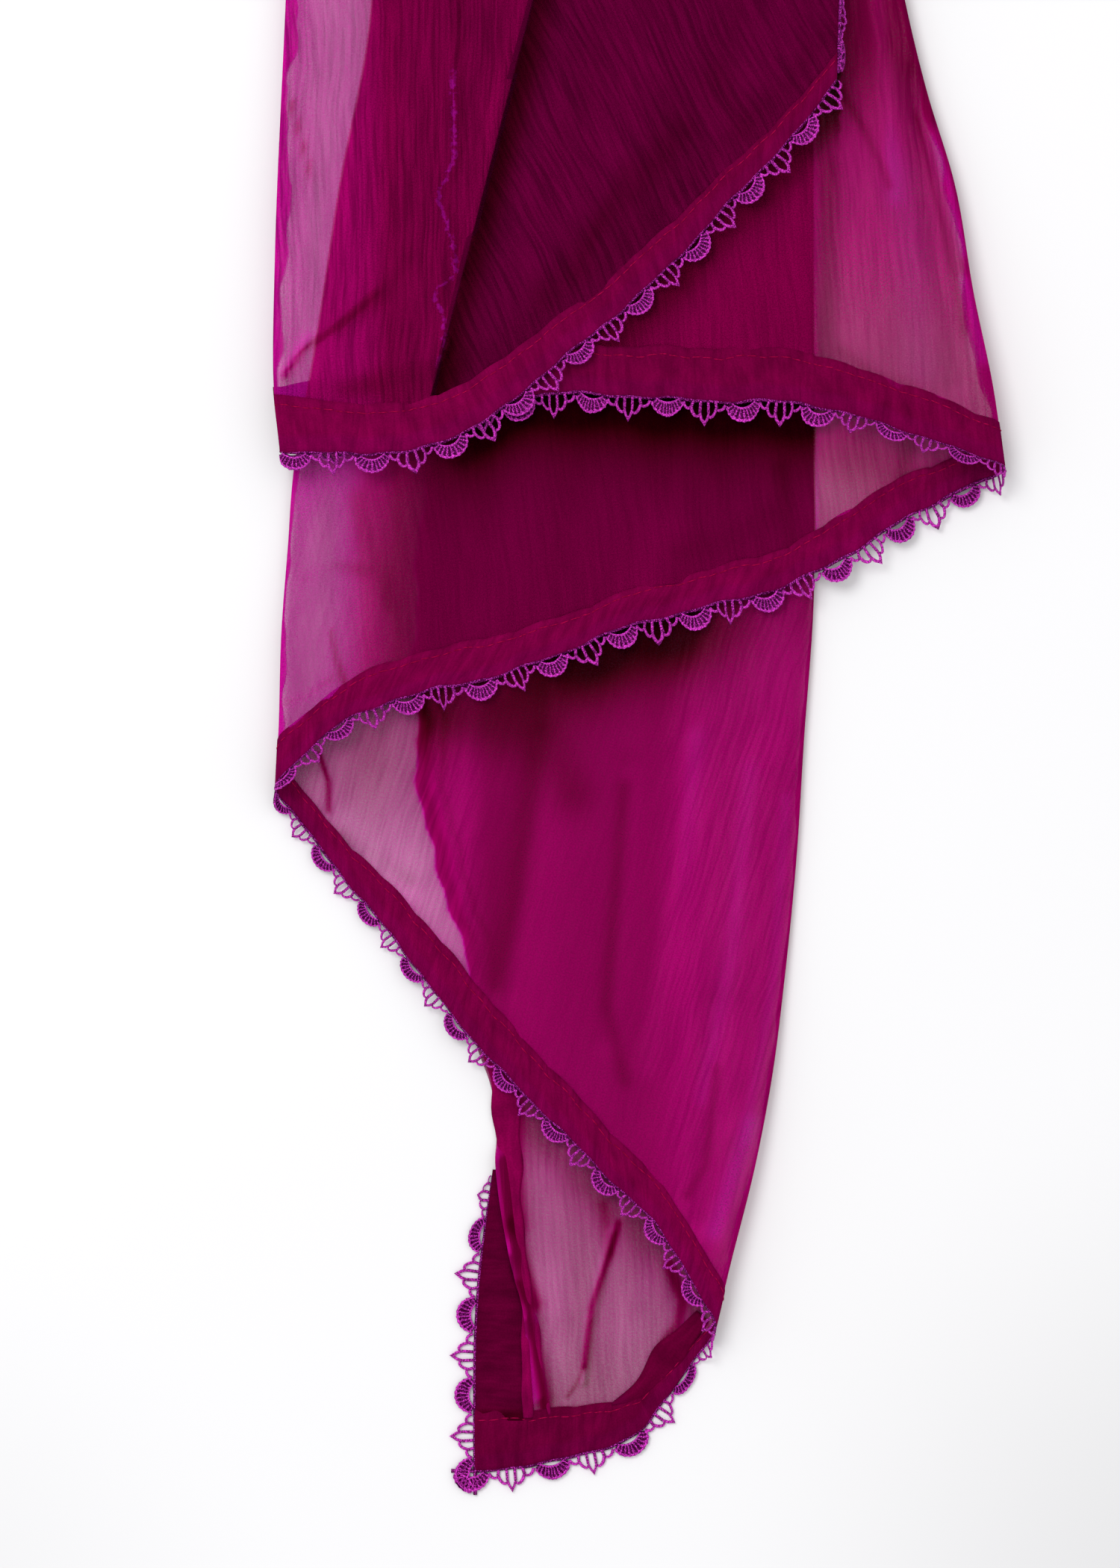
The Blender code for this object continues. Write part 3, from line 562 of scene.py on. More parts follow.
def with_arcs(k, plan, steps=6):
    """Adds heights to the flat part and the quarter turns at its folds."""
    flat = np.dstack([plan, height(k, plan[..., 0], plan[..., 1])])
    blocks = [flat]
    turned = [np.zeros(plan.shape[1])]
    for side in (-1, 1):
        fold = fold_at(k, side)
        if not fold:
            continue
        end = flat[:, 0] if side < 0 else flat[:, -1]
        hem_end = HEMS[STRETCHES[k].name][0 if side < 0 else -1].along
        fade = 1 - ease((end[:, 1] - hem_end) / 60)
        turn = []
        for share in np.linspace(1 / steps, 1, steps):
            y = end[:, 1] + (fold.crest - hem_end) * share * fade
            r = fold_radius(fold, y)
            x_flat = line(fold.line, y) - side * r
            high, low = height(fold.upper, x_flat, y), height(fold.lower, x_flat, y)
            angle = share * (math.pi / 2)
            base, down = (high, -1) if fold.upper == k else (low, 1)
            z = base + down * 0.5 * (high - low) * (1 - np.cos(angle))
            turn.append(np.stack([x_flat + side * r * np.sin(angle), y, z], 1))
        turn = np.stack(turn, 1)
        part = np.linspace(1 / steps, 1, steps)
        if side < 0:
            blocks, turned = [turn[:, ::-1]] + blocks, [part[::-1]] + turned
        else:
            blocks, turned = blocks + [turn], turned + [part]
    return np.concatenate(blocks, axis=1), np.concatenate(turned)


def grid_normals(grid):
    return unit(np.cross(np.gradient(grid, axis=1), np.gradient(grid, axis=0)))


def grid_faces(rows, columns):
    j, i = np.mgrid[0:rows - 1, 0:columns - 1]
    a = (j * columns + i).ravel()
    return np.stack([a, a + 1, a + columns + 1, a + columns], 1).tolist()


def piece(name, points, faces, finish, uv=None, values=None):
    """A mesh with its place in its vertices, riding on the stole's one body."""
    mesh = bpy.data.meshes.new(name)
    moved = (np.asarray(points, float) - (CENTRE_ACROSS, CENTRE_ALONG, 0)) * MM
    mesh.from_pydata(moved.tolist(), [], faces)
    mesh.update()
    if uv is not None:
        layer = mesh.uv_layers.new(name="grain")
        corner = np.empty(len(mesh.loops), np.int32)
        mesh.loops.foreach_get("vertex_index", corner)
        layer.data.foreach_set("uv", np.asarray(uv, np.float32)[corner].ravel())
    for key, value in (values or {}).items():
        value = np.asarray(value, np.float32)
        kind = "FLOAT_VECTOR" if value.ndim == 2 else "FLOAT"
        at = mesh.attributes.new(key, kind, "POINT")
        at.data.foreach_set("vector" if value.ndim == 2 else "value", value.ravel())
    obj = bpy.data.objects.new(name, mesh)
    bpy.context.scene.collection.objects.link(obj)
    mesh.materials.append(finish)
    mesh.shade_smooth()
    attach(obj, "root")
    return obj


def closed(top, count):
    """These faces, the same ones on the underside's points, and a wall round the edge."""
    faces = [tuple(p) for p in top]
    faces += [tuple(i + count for i in reversed(p)) for p in top]
    edges = {(a, b) for p in top for a, b in zip(p, p[1:] + p[:1])}
    walls = [(b, a, a + count, b + count) for a, b in sorted(edges) if (b, a) not in edges]
    return faces + walls


def slab(grid, thickness):
    """Points and faces of a wall of even thickness, with this grid as its middle."""
    middle = grid.reshape(-1, 3)
    half = grid_normals(grid).reshape(-1, 3) * thickness / 2
    low = middle - half
    low[:, 2] = np.maximum(low[:, 2], 0.0)
    return np.concatenate([middle + half, low]), closed(grid_faces(*grid.shape[:2]), len(middle))


def wall_piece(name, grid, thickness, finish, uv, shade):
    """A wall with the same grain and shade on both its faces."""
    points, faces = slab(grid, thickness)
    uv = np.tile(np.stack(np.broadcast_arrays(*uv), -1).reshape(-1, 2), (2, 1))
    shade = np.tile(np.broadcast_to(shade, grid.shape[:2]).ravel(), 2)
    return piece(name, points, faces, finish, uv=uv, values={"shade": shade})


# Materials.
class Signal:
    """A node's output. Sums and products of signals add the nodes that work them out."""

    def __init__(self, tree, socket):
        self.tree = tree
        self.socket = socket

    def join(self, operation, a, b=0.0, clamp=False):
        return put(self.tree, "Math", {0: a, 1: b}, operation=operation, use_clamp=clamp)

    def __add__(self, other):
        return self.join("ADD", self, other)

    def __sub__(self, other):
        return self.join("SUBTRACT", self, other)

    def __rsub__(self, other):
        return self.join("SUBTRACT", other, self)

    def __mul__(self, other):
        return self.join("MULTIPLY", self, other)

    def __truediv__(self, other):
        return self.join("DIVIDE", self, other)

    def __abs__(self):
        return self.join("ABSOLUTE", self)

    __radd__ = __add__
    __rmul__ = __mul__

    def clamped(self):
        return self.join("ADD", self, clamp=True)

    def remap(self, low, high, new_low, new_high, kind="LINEAR"):
        ends = {0: self, 1: low, 2: high, 3: new_low, 4: new_high}
        return put(self.tree, "MapRange", ends, interpolation_type=kind)

    def noise(self, scale, detail, roughness=0.5):
        inputs = {"Vector": self, "Scale": scale, "Detail": detail, "Roughness": roughness}
        return put(self.tree, "TexNoise", inputs)

    def axis(self, letter):
        return put(self.tree, "SeparateXYZ", {0: self}, letter)

    def other(self, name):
        """Another output of the same node."""
        return Signal(self.tree, self.socket.node.outputs[name])


def put(tree, kind, inputs, output=0, **settings):
    """Adds a node, its inputs given as values or signals, and gives one of its outputs."""
    node = tree.nodes.new("ShaderNode" + kind)
    for key, value in settings.items():
        setattr(node, key, value)
    for key, value in inputs.items():
        if isinstance(value, Signal):
            tree.links.new(value.socket, node.inputs[key])
        else:
            node.inputs[key].default_value = value
    return Signal(tree, node.outputs[output])


def attribute(tree, name, output="Fac"):
    return put(tree, "Attribute", {}, output, attribute_name=name)


def vector(tree, x, y, z):
    return put(tree, "CombineXYZ", {0: x, 1: y, 2: z})


def times(tree, a, b):
    return put(tree, "VectorMath", {0: a, 1: b}, operation="MULTIPLY")


def scaled(tree, colour, level):
    return put(tree, "VectorMath", {0: tuple(colour), "Scale": level}, operation="SCALE")


def mixed(tree, share, a, b):
    return put(tree, "Mix", {0: share, 6: a, 7: b}, 2, data_type="RGBA")


def new_material(name, constants):
    """A material, its nodes and its shader, with these constants on the shader."""
    material = bpy.data.materials.new(name)
    material.use_nodes = True
    shader = material.node_tree.nodes["Principled BSDF"]
    for key, value in constants.items():
        shader.inputs[key].default_value = value
    return material, material.node_tree, shader


def surface(shader, colour, relief=None, distance=0.0, strength=0.0):
    """Joins the colour and the fine relief to the shader."""
    colour.tree.links.new(colour.socket, shader.inputs["Base Color"])
    if relief:
        inputs = {"Height": relief, "Distance": distance, "Strength": strength}
        bump = put(relief.tree, "Bump", inputs)
        relief.tree.links.new(bump.socket, shader.inputs["Normal"])


def shared(name, make):
    return bpy.data.materials.get(name) or make(name)


def crinkle_group():
    """Fine uneven lines that run along the grain, with a plain weave between them."""
    tree = bpy.data.node_groups.new("crepe crinkle", "ShaderNodeTree")
    for label, kind in (("Grain", "Vector"), ("Spacing", "Float"), ("Run", "Float")):
        tree.interface.new_socket(name=label, in_out="INPUT", socket_type="NodeSocket" + kind)
    for label in ("Lines", "Weave", "Height"):
        tree.interface.new_socket(name=label, in_out="OUTPUT", socket_type="NodeSocketFloat")
    given = tree.nodes.new("NodeGroupInput")
    grain, spacing, run = (Signal(tree, given.outputs[key]) for key in ("Grain", "Spacing", "Run"))
    along = grain.axis("Y")
    across = grain.axis("X") + times(tree, grain, (0.03, 0.03, 0.0)).noise(1.0, 1.0) * 5.0
    lines = vector(tree, across / spacing, along / run, 0.0).noise(1.0, 2.0, 0.55)
    lines = lines.remap(0.38, 0.64, 0.0, 1.0)
    broad = vector(tree, across / 6.0, along / 60.0, 3.0).noise(1.0, 1.0)
    broad = broad.remap(0.35, 0.65, 0.0, 1.0)
    lines = put(tree, "Mix", {0: 0.2, 2: lines, 3: broad}, data_type="FLOAT")
    weave = grain.noise(1.9, 0.0).remap(0.3, 0.7, 0.0, 1.0)
    out = tree.nodes.new("NodeGroupOutput")
    for label, signal in (("Lines", lines), ("Weave", weave), ("Height", lines + weave * 0.25)):
        tree.links.new(signal.socket, out.inputs[label])
    return tree


def crinkle(grain, spacing, run):
    """The lines, weave and height of the crinkle, for lines this far apart and this long."""
    made = bpy.data.node_groups.get("crepe crinkle") or crinkle_group()
    inputs = {"Grain": grain, "Spacing": spacing, "Run": run}
    lines = put(grain.tree, "Group", inputs, "Lines", node_tree=made)
    return lines, lines.other("Weave"), lines.other("Height")


def chiffon(k):
    """Sheer crinkled cloth. Its colour deepens with the layers that lie beneath."""
    colours = bpy.context.scene.stole_colours
    cloth = CLOTHS[k]
    name = "chiffon_" + STRETCHES[k].name
    material, tree, shader = new_material(name, {**CREPE, "Roughness": 0.62})
    grain = put(tree, "UVMap", {}, uv_map="grain")
    lines, weave, relief = crinkle(grain, bpy.context.scene.stole_sizes.crinkle / MM, 26.0)
    place = put(tree, "TexCoord", {}, "Object")
    under = attribute(tree, "under", "Vector")
    tone = attribute(tree, "tone")
    shade = attribute(tree, "shade")
    count = tone + cloth.layers
    edges = [under.axis(letter).remap(-0.4, 0.4, 0.0, 1.0) for letter in "XYZ"]
    for edge, weight in zip(edges, cloth.weights):
        if weight:
            count = count + edge * weight
    if k == 0:
        gap = attribute(tree, "pleat")
        past_pleat = gap.remap(-0.3, 0.3, 0.0, 1.0)
        count = count + past_pleat * 1.8
        # painted shadow that the pleat's edge casts on the cloth just past it
        shade = shade + gap.remap(0.0, 15.0, 0.68, 0.0, "SMOOTHSTEP") * past_pleat
    # the rolled cloth of a fold shows as a fuller strip of uneven width
    wide = times(tree, place, (3.0, 44.0, 0.0)).noise(1.0, 1.0).remap(0.36, 0.66, 1.6, 5.2)
    rim = ((wide - attribute(tree, "rim")) * 1.6).clamped()
    count = count + rim * 0.45
    colour = put(tree, "ValToRGB", {0: (count / 4.0).clamped()}, "Color")
    stops = colour.socket.node.color_ramp.elements
    stops[0].position, stops[0].color = 0.0, (*colours.single, 1)
    stops[1].position, stops[1].color = 1.0, (*colours.deep, 1)
    for at, layered in ((0.25, colours.double), (0.5, colours.treble)):
        stops.new(at).color = (*layered, 1)
    if k == 0:
        # the side's lace shows through the front stretch as a beaded violet line
        half = place.noise(620.0, 1.0).remap(0.35, 0.65, 0.2, 1.7)
        thread = (half - abs(attribute(tree, "glimpse"))).clamped()
        along = place.axis("Y")
        near, far = (372 - CENTRE_ALONG) * MM, (474 - CENTRE_ALONG) * MM
        for start, stop in ((near, near + 0.006), (far, far - 0.006)):
            thread = thread * along.remap(start, stop, 0.0, 0.9)
        colour = mixed(tree, thread, colour, GLIMPSE_COLOUR)
    lit = lines.remap(0.0, 1.0, cloth.pale, cloth.full)
    sheer = lines.remap(0.0, 1.0, cloth.low, cloth.high)
    if k == 3:
        # the grain shows on the right half of this stretch, and the left half is smooth
        grainy = tone.remap(0.1, 0.5, 1.0, 0.3)
        lit = 1.0 + (lit - 1.0) * grainy
        sheer = 0.69 + (sheer - 0.69) * grainy
    lit = lit * (1.0 - shade) * (1.0 + (weave - 0.5) * 0.1)
    # blue fades first where the cloth is in shade
    cool = 1.0 - shade * abs(shade)
    surface(shader, times(tree, colour, vector(tree, lit, lit, lit * cool)), relief, 0.0005, cloth.bump)
    alpha = sheer + (weave - 0.5) * 0.16 + attribute(tree, "dense") * 0.3 + rim * 0.27
    # over other layers the cloth is less sheer; in the left strip it is made sheerer, as painted light
    # for the light that reaches the surface under the strip's raised edge
    layered = count.join("MINIMUM", count, 1.0)
    alpha = alpha - attribute(tree, "thin") + layered * 0.13
    if k < 2:
        alpha = alpha - (1.0 - edges[0]) * 0.26
    tree.links.new(alpha.clamped().socket, shader.inputs["Alpha"])
    return material


def hem_cloth(name):
    """The border: the same crepe folded on itself, so it is dense."""
    material, tree, shader = new_material(name, {**CREPE, "Roughness": 0.66})
    grain = put(tree, "UVMap", {}, uv_map="grain")
    lines, weave, relief = crinkle(grain, 1.6, 12.0)
    shade = attribute(tree, "shade")
    cloud = vector(tree, grain.axis("X") * 0.16, grain.axis("Y") * 0.1, 0.0).noise(1.0, 3.0)
    lit = lines.remap(0.0, 1.0, 1.12, 0.86) * cloud.remap(0.3, 0.7, 0.76, 1.2)
    lit = lit * weave.remap(0.0, 1.0, 0.9, 1.1) * (1.0 - shade)
    # the turned-in layer ends partway up, so the lower strip looks fuller
    lower = grain.axis("Y").remap(4.6, 6.4, 1.12, 0.97)
    cool = 1.0 - shade * abs(shade)
    tint = vector(tree, lit, lit, lit * cool * lower)
    hem = tuple(bpy.context.scene.stole_colours.hem)
    surface(shader, times(tree, hem, tint), relief, 0.0003, 0.6)
    return material


def lace_thread(name):
    """Violet satin thread, with painted highlights on its strands and painted shade between them."""
    colours = bpy.context.scene.stole_colours
    material, tree, shader = new_material(name, {
        "Roughness": 0.36, "Metallic": 0.0, "Specular IOR Level": 0.12,
        "Specular Tint": (1.0, 0.3, 0.8, 1)})
    grain = put(tree, "UVMap", {}, uv_map="grain")
    cells = {"Vector": grain, "Scale": 2.3, "Randomness": 1.0}
    cells = put(tree, "TexVoronoi", cells, "Distance", feature="F1")
    threads = (grain.noise(2.6, 2.0, 0.7) - cells * 0.4).remap(0.2, 0.42, 0.0, 1.0)
    # painted highlight on the threads, ribs and rims, painted shade in the gaps between them
    strand = (threads * 1.1 + (attribute(tree, "painted_light") - 0.7)).clamped()
    colour = mixed(tree, strand, (*colours.lace_dark, 1), (*colours.lace_light, 1))
    surface(shader, colour, threads, 0.0004, 0.8)
    return material


def sewing_thread(name):
    material, tree, shader = new_material(
        name, {"Roughness": 0.6, "Metallic": 0.0, "Specular IOR Level": 0.0})
    twist = put(tree, "TexCoord", {}, "Object").noise(900.0, 1.0)
    lit = twist.remap(0.3, 0.7, 0.6, 1.25)
    surface(shader, scaled(tree, bpy.context.scene.stole_colours.thread, lit), twist, 0.0001, 0.5)
    return material


def grain_uv(k, grid):
    """Where each point lies across and along the cloth's grain."""
    x, y = grid[..., 0], grid[..., 1]
    lean = CLOTHS[k].lean
    if k == 0:
        lean = np.where(x < pleat_at(y), 0.0, lean)
    a = np.radians(lean)
    return np.stack([x * np.cos(a) + y * np.sin(a) + 400.0 * k, y * np.cos(a) - x * np.sin(a)], -1)


def ragged(y):
    """How far the layer under the fourth stretch wanders from its straight edge."""
    wide = np.interp(y, (172, 190, 211, 228, 252), (0, 3, 5.5, 5.5, 2.8))
    return wide + (0.8 * np.sin(y / 6.0) + 0.5 * np.sin(y / 2.3)) * ease((y - 172) / 20)


def below(name, x, y, reach):
    """1 just under a hem's lace, fading over the reach down from it."""
    low = hem_along(name, x) - 8
    return hill(np.maximum(low - y, 0), reach) * (y < low + 20)


# Each stretch's added layers, sheerness and painted shade, much of it painted shadow under the hems and
# edges above. Each term is one strip or edge of the cloth, at its place on the table.
def front_look(x, y):
    tone = ease((x + 98) / 24) + 0.4 * ease((x - pleat_at(y) + 1) / 2)
    thin = -0.14 * hill(x - line("left_1", y), 7.0)
    shade = 0.05 + 0.05 * ease((x + 102) / 24)
    shade += 0.2 * hill(x - line("glimpse", y) - 2.2, 1.6) * ease((y - 372) / 8)
    shade += 0.12 * hill(y - hem_along("front", x) - 20, 6.0)
    return tone, thin, shade


def second_look(x, y):
    right = ease(x - line("right_2", y))
    left_rim = hill(x - line("left_1", y), 7.0)
    right_rim = hill(line("right_1", y) - x, 6.0)
    tone = right * 1.1 * ease((y - 436) / 45)
    window = np.interp(y, (377, 397, 415, 447, 505), (0.30, 0.19, 0.08, -0.02, -0.13))
    thin = right * window - 0.14 * left_rim - 0.08 * right_rim
    shade = 0.5 * below("front", x, y, 11.0) * (x < 66) * (x > -60)
    shade += 0.3 * hill(x - line("side_1", y), 8.0) * ease((y - 440) / 30)
    shade += 0.1 * right_rim + right * (0.14 * ease((y - 405) / 30) - 0.02)
    return tone, thin, shade


def third_look(x, y):
    right = ease(x - line("right_2", y))
    covered = ease((y - hem_along("second", x)) / 10)
    tone = 2.8 * ease((x + 109) / 42) + 0.9 * right
    thin = 0.19 * (1 - ease((x + 108) / 44)) + (0.10 + 0.14 * covered) * right
    thin -= 0.08 * hill(line("right_1", y) - x, 6.0) + 0.13 * below("second", x, y, 13.0)
    top = np.minimum(hem_along("front", x), hem_along("second", x)) - 8
    near = np.exp(-(np.maximum(top - y, 0) / 15.0) ** 1.3) * (y < top + 20)
    shade = 0.84 * near * ease((x + 84) / 34) * (1 - 0.85 * right)
    shade += 0.14 * ease((x + 88) / 20) * (1 - right) + 0.1 * right
    return tone, thin, shade


def fourth_look(x, y):
    side = x - line("side_2", y)
    beside = side + ragged(y)
    window = 1 - ease(beside + 1)
    rest = 1 - window
    hidden = ease((y - hem_along("third", x) - 6) / 6)
    tone = window * 0.2 + 0.5 * ease((x + 60) / 10) * (1 - ease((x - 2) / 16))
    thin = 0.18 * (1 - ease((x + 108) / 24)) * hidden
    thin += window * (0.10 - 0.11 * ease((y - 205) / 40))
    thin -= rest * (0.3 * (1 - ease(side)) + 0.07 * (1 - ease((x - 4) / 26)))
    shade = window * (0.05 + 0.36 * ease((y - 200) / 45))
    under_hem = (0.46 + 0.2 * ease((x + 40) / 16)) * below("third", x, y, 15.0)
    under_hem += 0.18 * below("third", x, y, 34.0) * ease((x + 50) / 30)
    shade += under_hem * rest * (1 - 0.7 * ease((x - 14) / 30))
    # painted shade in two lines along the ragged edge of the layer beneath
    ragged_edge_shade = 0.2 * hill(beside - 2.5, 2.2) + 0.12 * hill(beside - 8.5, 1.2)
    shade += ragged_edge_shade * ease((y - 172) / 20)
    streak = np.interp(y, (168, 244), (-47, -34))
    shade += (0.08 + 0.12 * (1 - ease((x - streak) / 5)) + 0.06 * hill(x + 10, 12.0)) * rest
    return tone, thin, shade


def lower_look(x, y):
    shade = 0.28 + 0.24 * below("fourth", x, y, 8.0) + 0.16 * ease((60 - y) / 30)
    return 0.45, 0.04 - 0.13 * below("fourth", x, y, 13.0), shade


LOOKS = (front_look, second_look, third_look, fourth_look, lower_look)


def looks(k, grid, lift, turned):
    """Added layers, sheerness and painted shade at each point, from edges, patches and creases."""
    x, y = grid[..., 0], grid[..., 1]
    tone, thin, shade = (np.zeros(x.shape) + part for part in LOOKS[k](x, y))
    for p in PATCHES:
        if p.layer == k:
            gaps = [away_from(grid[..., :2], a, b) for a, b in zip(p.path, p.path[1:])]
            soft = hill(np.min(gaps, axis=0), p.width)
            tone += p.tone * soft
            thin += p.thin * soft
            shade += p.shade * soft
    # creases turned to the light at the upper left look paler, the others fuller
    gap_x = np.maximum(np.gradient(x, axis=1), 0.15)
    gap_y = np.maximum(np.gradient(y, axis=0), 0.15)
    slope = np.gradient(lift, axis=1) / gap_x - np.gradient(lift, axis=0) / gap_y
    relief = np.clip(0.8 * slope, -0.2, 0.2) * (turned == 0)
    return tone, thin + 0.2 * relief, np.clip(shade - relief, -0.5, 0.93)


def sheet_piece(k):
    """One stretch of the ground cloth, from its stitch line to the far hem."""
    gap = bpy.context.scene.stole_sizes.column_gap / MM * (0.55 if k == 4 else 1.0)
    name = STRETCHES[k].name
    edge = band_grid(k, 200, 2)[-1]
    rows = int((SPLIT_AT - edge[:, 1].min()) / gap / 1.3)
    grid, turned = with_arcs(k, cloth_grid(k, int(run_along(edge)[-1] / gap), rows, 60))
    lift, dense = creased(k, grid)
    grid[..., 2] = np.maximum(grid[..., 2] + lift * (1 - turned), 0.25)
    x, y = grid[..., 0], grid[..., 1]
    under = np.stack([x - line(edge_name, y) for edge_name in ("left_2", "side_2", "right_2")], -1)
    if k == 3:
        under[..., 1] += ragged(y)
    tone, thin, shade = looks(k, grid, lift, turned)
    rim = np.full(x.shape, 60.0)
    for side in (-1, 1):
        fold = fold_at(k, side)
        if fold:
            rim = np.minimum(rim, side * (line(fold.line, y) - x) / RIM[fold.line])
    fields = {
        "dense": np.maximum(dense, turned ** 2), "tone": tone, "thin": thin, "shade": shade,
        "rim": rim, "glimpse": x - line("glimpse", y), "pleat": x - pleat_at(y),
    }
    values = {key: value.ravel() for key, value in fields.items()}
    values["under"] = under.reshape(-1, 3)
    obj = piece(
        name + "_cloth", grid.reshape(-1, 3), grid_faces(*x.shape), chiffon(k),
        uv=grain_uv(k, grid).reshape(-1, 2), values=values)
    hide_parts(name + "_fall", "rear_bundle")


def border_surface(k):
    """The middle of a border's cloth, with the small puckers its stitches draw."""
    grid, turned = with_arcs(k, band_grid(k, 170, 12, 1.35 if k == 3 else 1.1), 7)
    run = run_along(grid[5])
    across = np.linspace(0, 1, 12)[:, None]
    pucker = 0.28 * np.sin(run / 2.9 + 1.3 * np.sin(run / 17.0 + k)) + 0.3 * np.sin(run / 11.0 + 2 * k)
    roll = np.sin(np.pi * across) ** 0.5 * 0.35
    lift = (roll + pucker * (0.35 + 0.65 * across) * 0.8) * (1 - turned)
    grid[..., 2] = np.maximum(grid[..., 2] + lift, 0.35)
    return grid, run, across


def hem_piece(k):
    """The folded border along the hem, a little thicker than the cloth."""
    name = STRETCHES[k].name
    grid, run, across = border_surface(k)
    depth = np.linalg.norm(grid[-1] - grid[0], axis=1)
    start, end = HEM_SHADE[name]
    obj = wall_piece(
        name + "_border", grid, HEM_THICK, shared("folded_hem", hem_cloth),
        (run + 300 * k, across * depth), start + (end - start) * run / run[-1])
    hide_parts(name + "_hem")


def side_hem_piece():
    """The border of the long side that comes up at the corner, with its ragged inner edge."""
    y = np.linspace(SIDE_HEM_FROM, SIDE_HEM_TO, 40)[:, None]
    t = np.linspace(0, 1, 7)
    x0 = line("side_2", y)
    x1 = line("side_2_turned", y) + 1.1 - 1.2 * ease((58 - y) / 14)
    x1 += (0.8 * np.sin(y / 4.1) + 0.5 * np.sin(y / 1.7)) * ease((100 - y) / 20)
    z = 0.55 + 0.35 * np.sin(np.pi * t) ** 0.5 + 0.2 * np.sin(y / 3.1) * t
    grid = np.stack(np.broadcast_arrays(x0 + (x1 - x0) * t, y, z), -1)
    obj = wall_piece(
        "side_border", grid, HEM_THICK, shared("folded_hem", hem_cloth),
        (grid[..., 1], grid[..., 0]), 0.46 + 0.3 * hill(y - 23, 2.5))
    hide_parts("side_hem")


def roll_piece(roll):
    """Cloth that rolls over a band, as a low rounded strip along its path."""
    at = run_along(np.array(roll.path))
    run = np.linspace(0, at[-1], 50)
    middle = np.stack([through(at, [p[c] for p in roll.path], run) for c in (0, 1)], 1)
    side = unit(np.gradient(middle, axis=0)[:, ::-1] * (1, -1))
    width = through([0, 0.2, 0.6, 1], roll.widths, run / at[-1]) * (1 + 0.12 * np.sin(run / 3.1))
    t = np.linspace(-1, 1, 9)
    flat = middle[:, None, :] + side[:, None, :] * width[:, None, None] * t[None, :, None] / 2
    top = np.sqrt(1 - t * t) * np.minimum(width, 3.0)[:, None] * 0.3
    wall_piece(
        roll.name, np.dstack([flat, 0.7 + top]), ROLL_THICK, shared("rolled_cloth", hem_cloth),
        (t * 3 + 70, run[:, None]), roll.shade)


# Lace and stitches.
def tube_faces(rings):
    """Faces of a four-sided tube through this many rings of points."""
    faces = []
    for j in range(rings - 1):
        for i in range(4):
            a, b = 4 * j + i, 4 * j + (i + 1) % 4
            faces.append((a, b, b + 4, a + 4))
    last = 4 * (rings - 1)
    return faces + [(3, 2, 1, 0), (last, last + 1, last + 2, last + 3)]


def cord_mesh(path, width, thick, painted_light):
    """A four-sided cord along a path of (run, depth, rise), its points marked with their share of
    painted light.
    """
    path = np.asarray(path, float)
    along = unit(np.gradient(path, axis=0))
    side = np.stack([-along[:, 1], along[:, 0], np.zeros(len(path))], 1) * width / 2
    up = np.array([0, 0, thick / 2])
    points = np.stack([path + side, path + up, path - side, path - up], 1).reshape(-1, 3)
    faces = [f[:1] + f[:0:-1] for f in tube_faces(len(path))]
    return np.column_stack([points, np.full(len(points), painted_light)]), faces


def shell(deep, cord, fine):
    """The lace's ribbed shell: ribs from an inner cord that sags to a scalloped rim."""
    count = 21 if fine else 9
    rings = (0.0, 0.1, 0.2, 0.5, 0.78, 0.9, 1.0) if fine else (0.0, 0.5, 1.0)
    points = []
    for share in rings:
        for n, t in enumerate(np.linspace(-1, 1, count)):
            rib = n % 2 == 1
            inner = np.array([SHELL_AT + 3.7 * t, 0.2 + 1.6 * (1 - t * t)])
            angle = t * math.radians(86)
            bulge = 1.045 if rib and share > 0.95 else 1.0
            rim = 5.5 * bulge * math.sin(angle), 5.9 * bulge * math.cos(angle)
            spot = inner + (np.array([SHELL_AT, 0.8]) + rim - inner) * share
            edge = share < 0.15 or share > 0.85
            rise = 0.42 if edge else (0.4 if rib else -0.3)
            # rims and ribs take painted light, the gaps between the ribs painted shade
            painted_light = 0.95 if edge else (1.1 if rib else -0.6)
            points.append((spot[0], spot[1] * deep, rise * cord / 0.7, painted_light))
    top = [(b, a, c, d) for a, b, d, c in grid_faces(len(rings), count)]
    low = [(p[0], p[1], -0.25, 0.1) for p in points]
    return np.array(points + low, float), closed(top, len(points))


def lace_repeat(depth, cord, fine):
    """One repeat in the flat: a ribbed shell, then five loops that meet in a point.

    Points are (run, depth, rise, painted_light), where painted_light is 1 on a thread painted as lit
    and below 0 in the painted shade between the shell's ribs.
    """
    deep = depth / LACE_DEEP
    run = np.linspace(-0.2, LACE_REPEAT + 0.2, 11 if fine else 5)
    sewn = np.stack([run, 0 * run - 0.1, 0 * run], 1)
    made = [cord_mesh(sewn, cord * 1.4, cord, 0.3), shell(deep, cord, fine)]
    # loops: straight bars from the sewn edge, joined by one scalloped cord
    for w, q in LOOP_JOINTS[1:-1]:
        foot = POINT_AT + (w - POINT_AT) * 0.86
        made.append(cord_mesh([(foot, -0.2, 0), (w, q * deep, 0.12)], cord, cord, 0.8))
    path = []
    for (w0, q0), (w1, q1), low in zip(LOOP_JOINTS, LOOP_JOINTS[1:], LOOP_LOWS):
        for t in np.linspace(0, 1, 6 if fine else 3, endpoint=False):
            sag = (low - 0.5 * (q0 + q1)) * math.sin(math.pi * t) ** 0.6
            path.append((w0 + (w1 - w0) * t, (q0 + (q1 - q0) * t + sag) * deep, 0.15))
    path.append((LOOP_JOINTS[-1][0], LOOP_JOINTS[-1][1] * deep, 0.15))
    made.append(cord_mesh(path, cord, cord, 0.95))
    if fine:
        tip = [(POINT_AT + w, q * deep, 0.1) for w, q in ((-0.5, 7.0), (0, 8.2), (0.5, 7.0))]
        made.append(cord_mesh(tip, cord * 0.8, cord, 0.8))
    return joined(made)


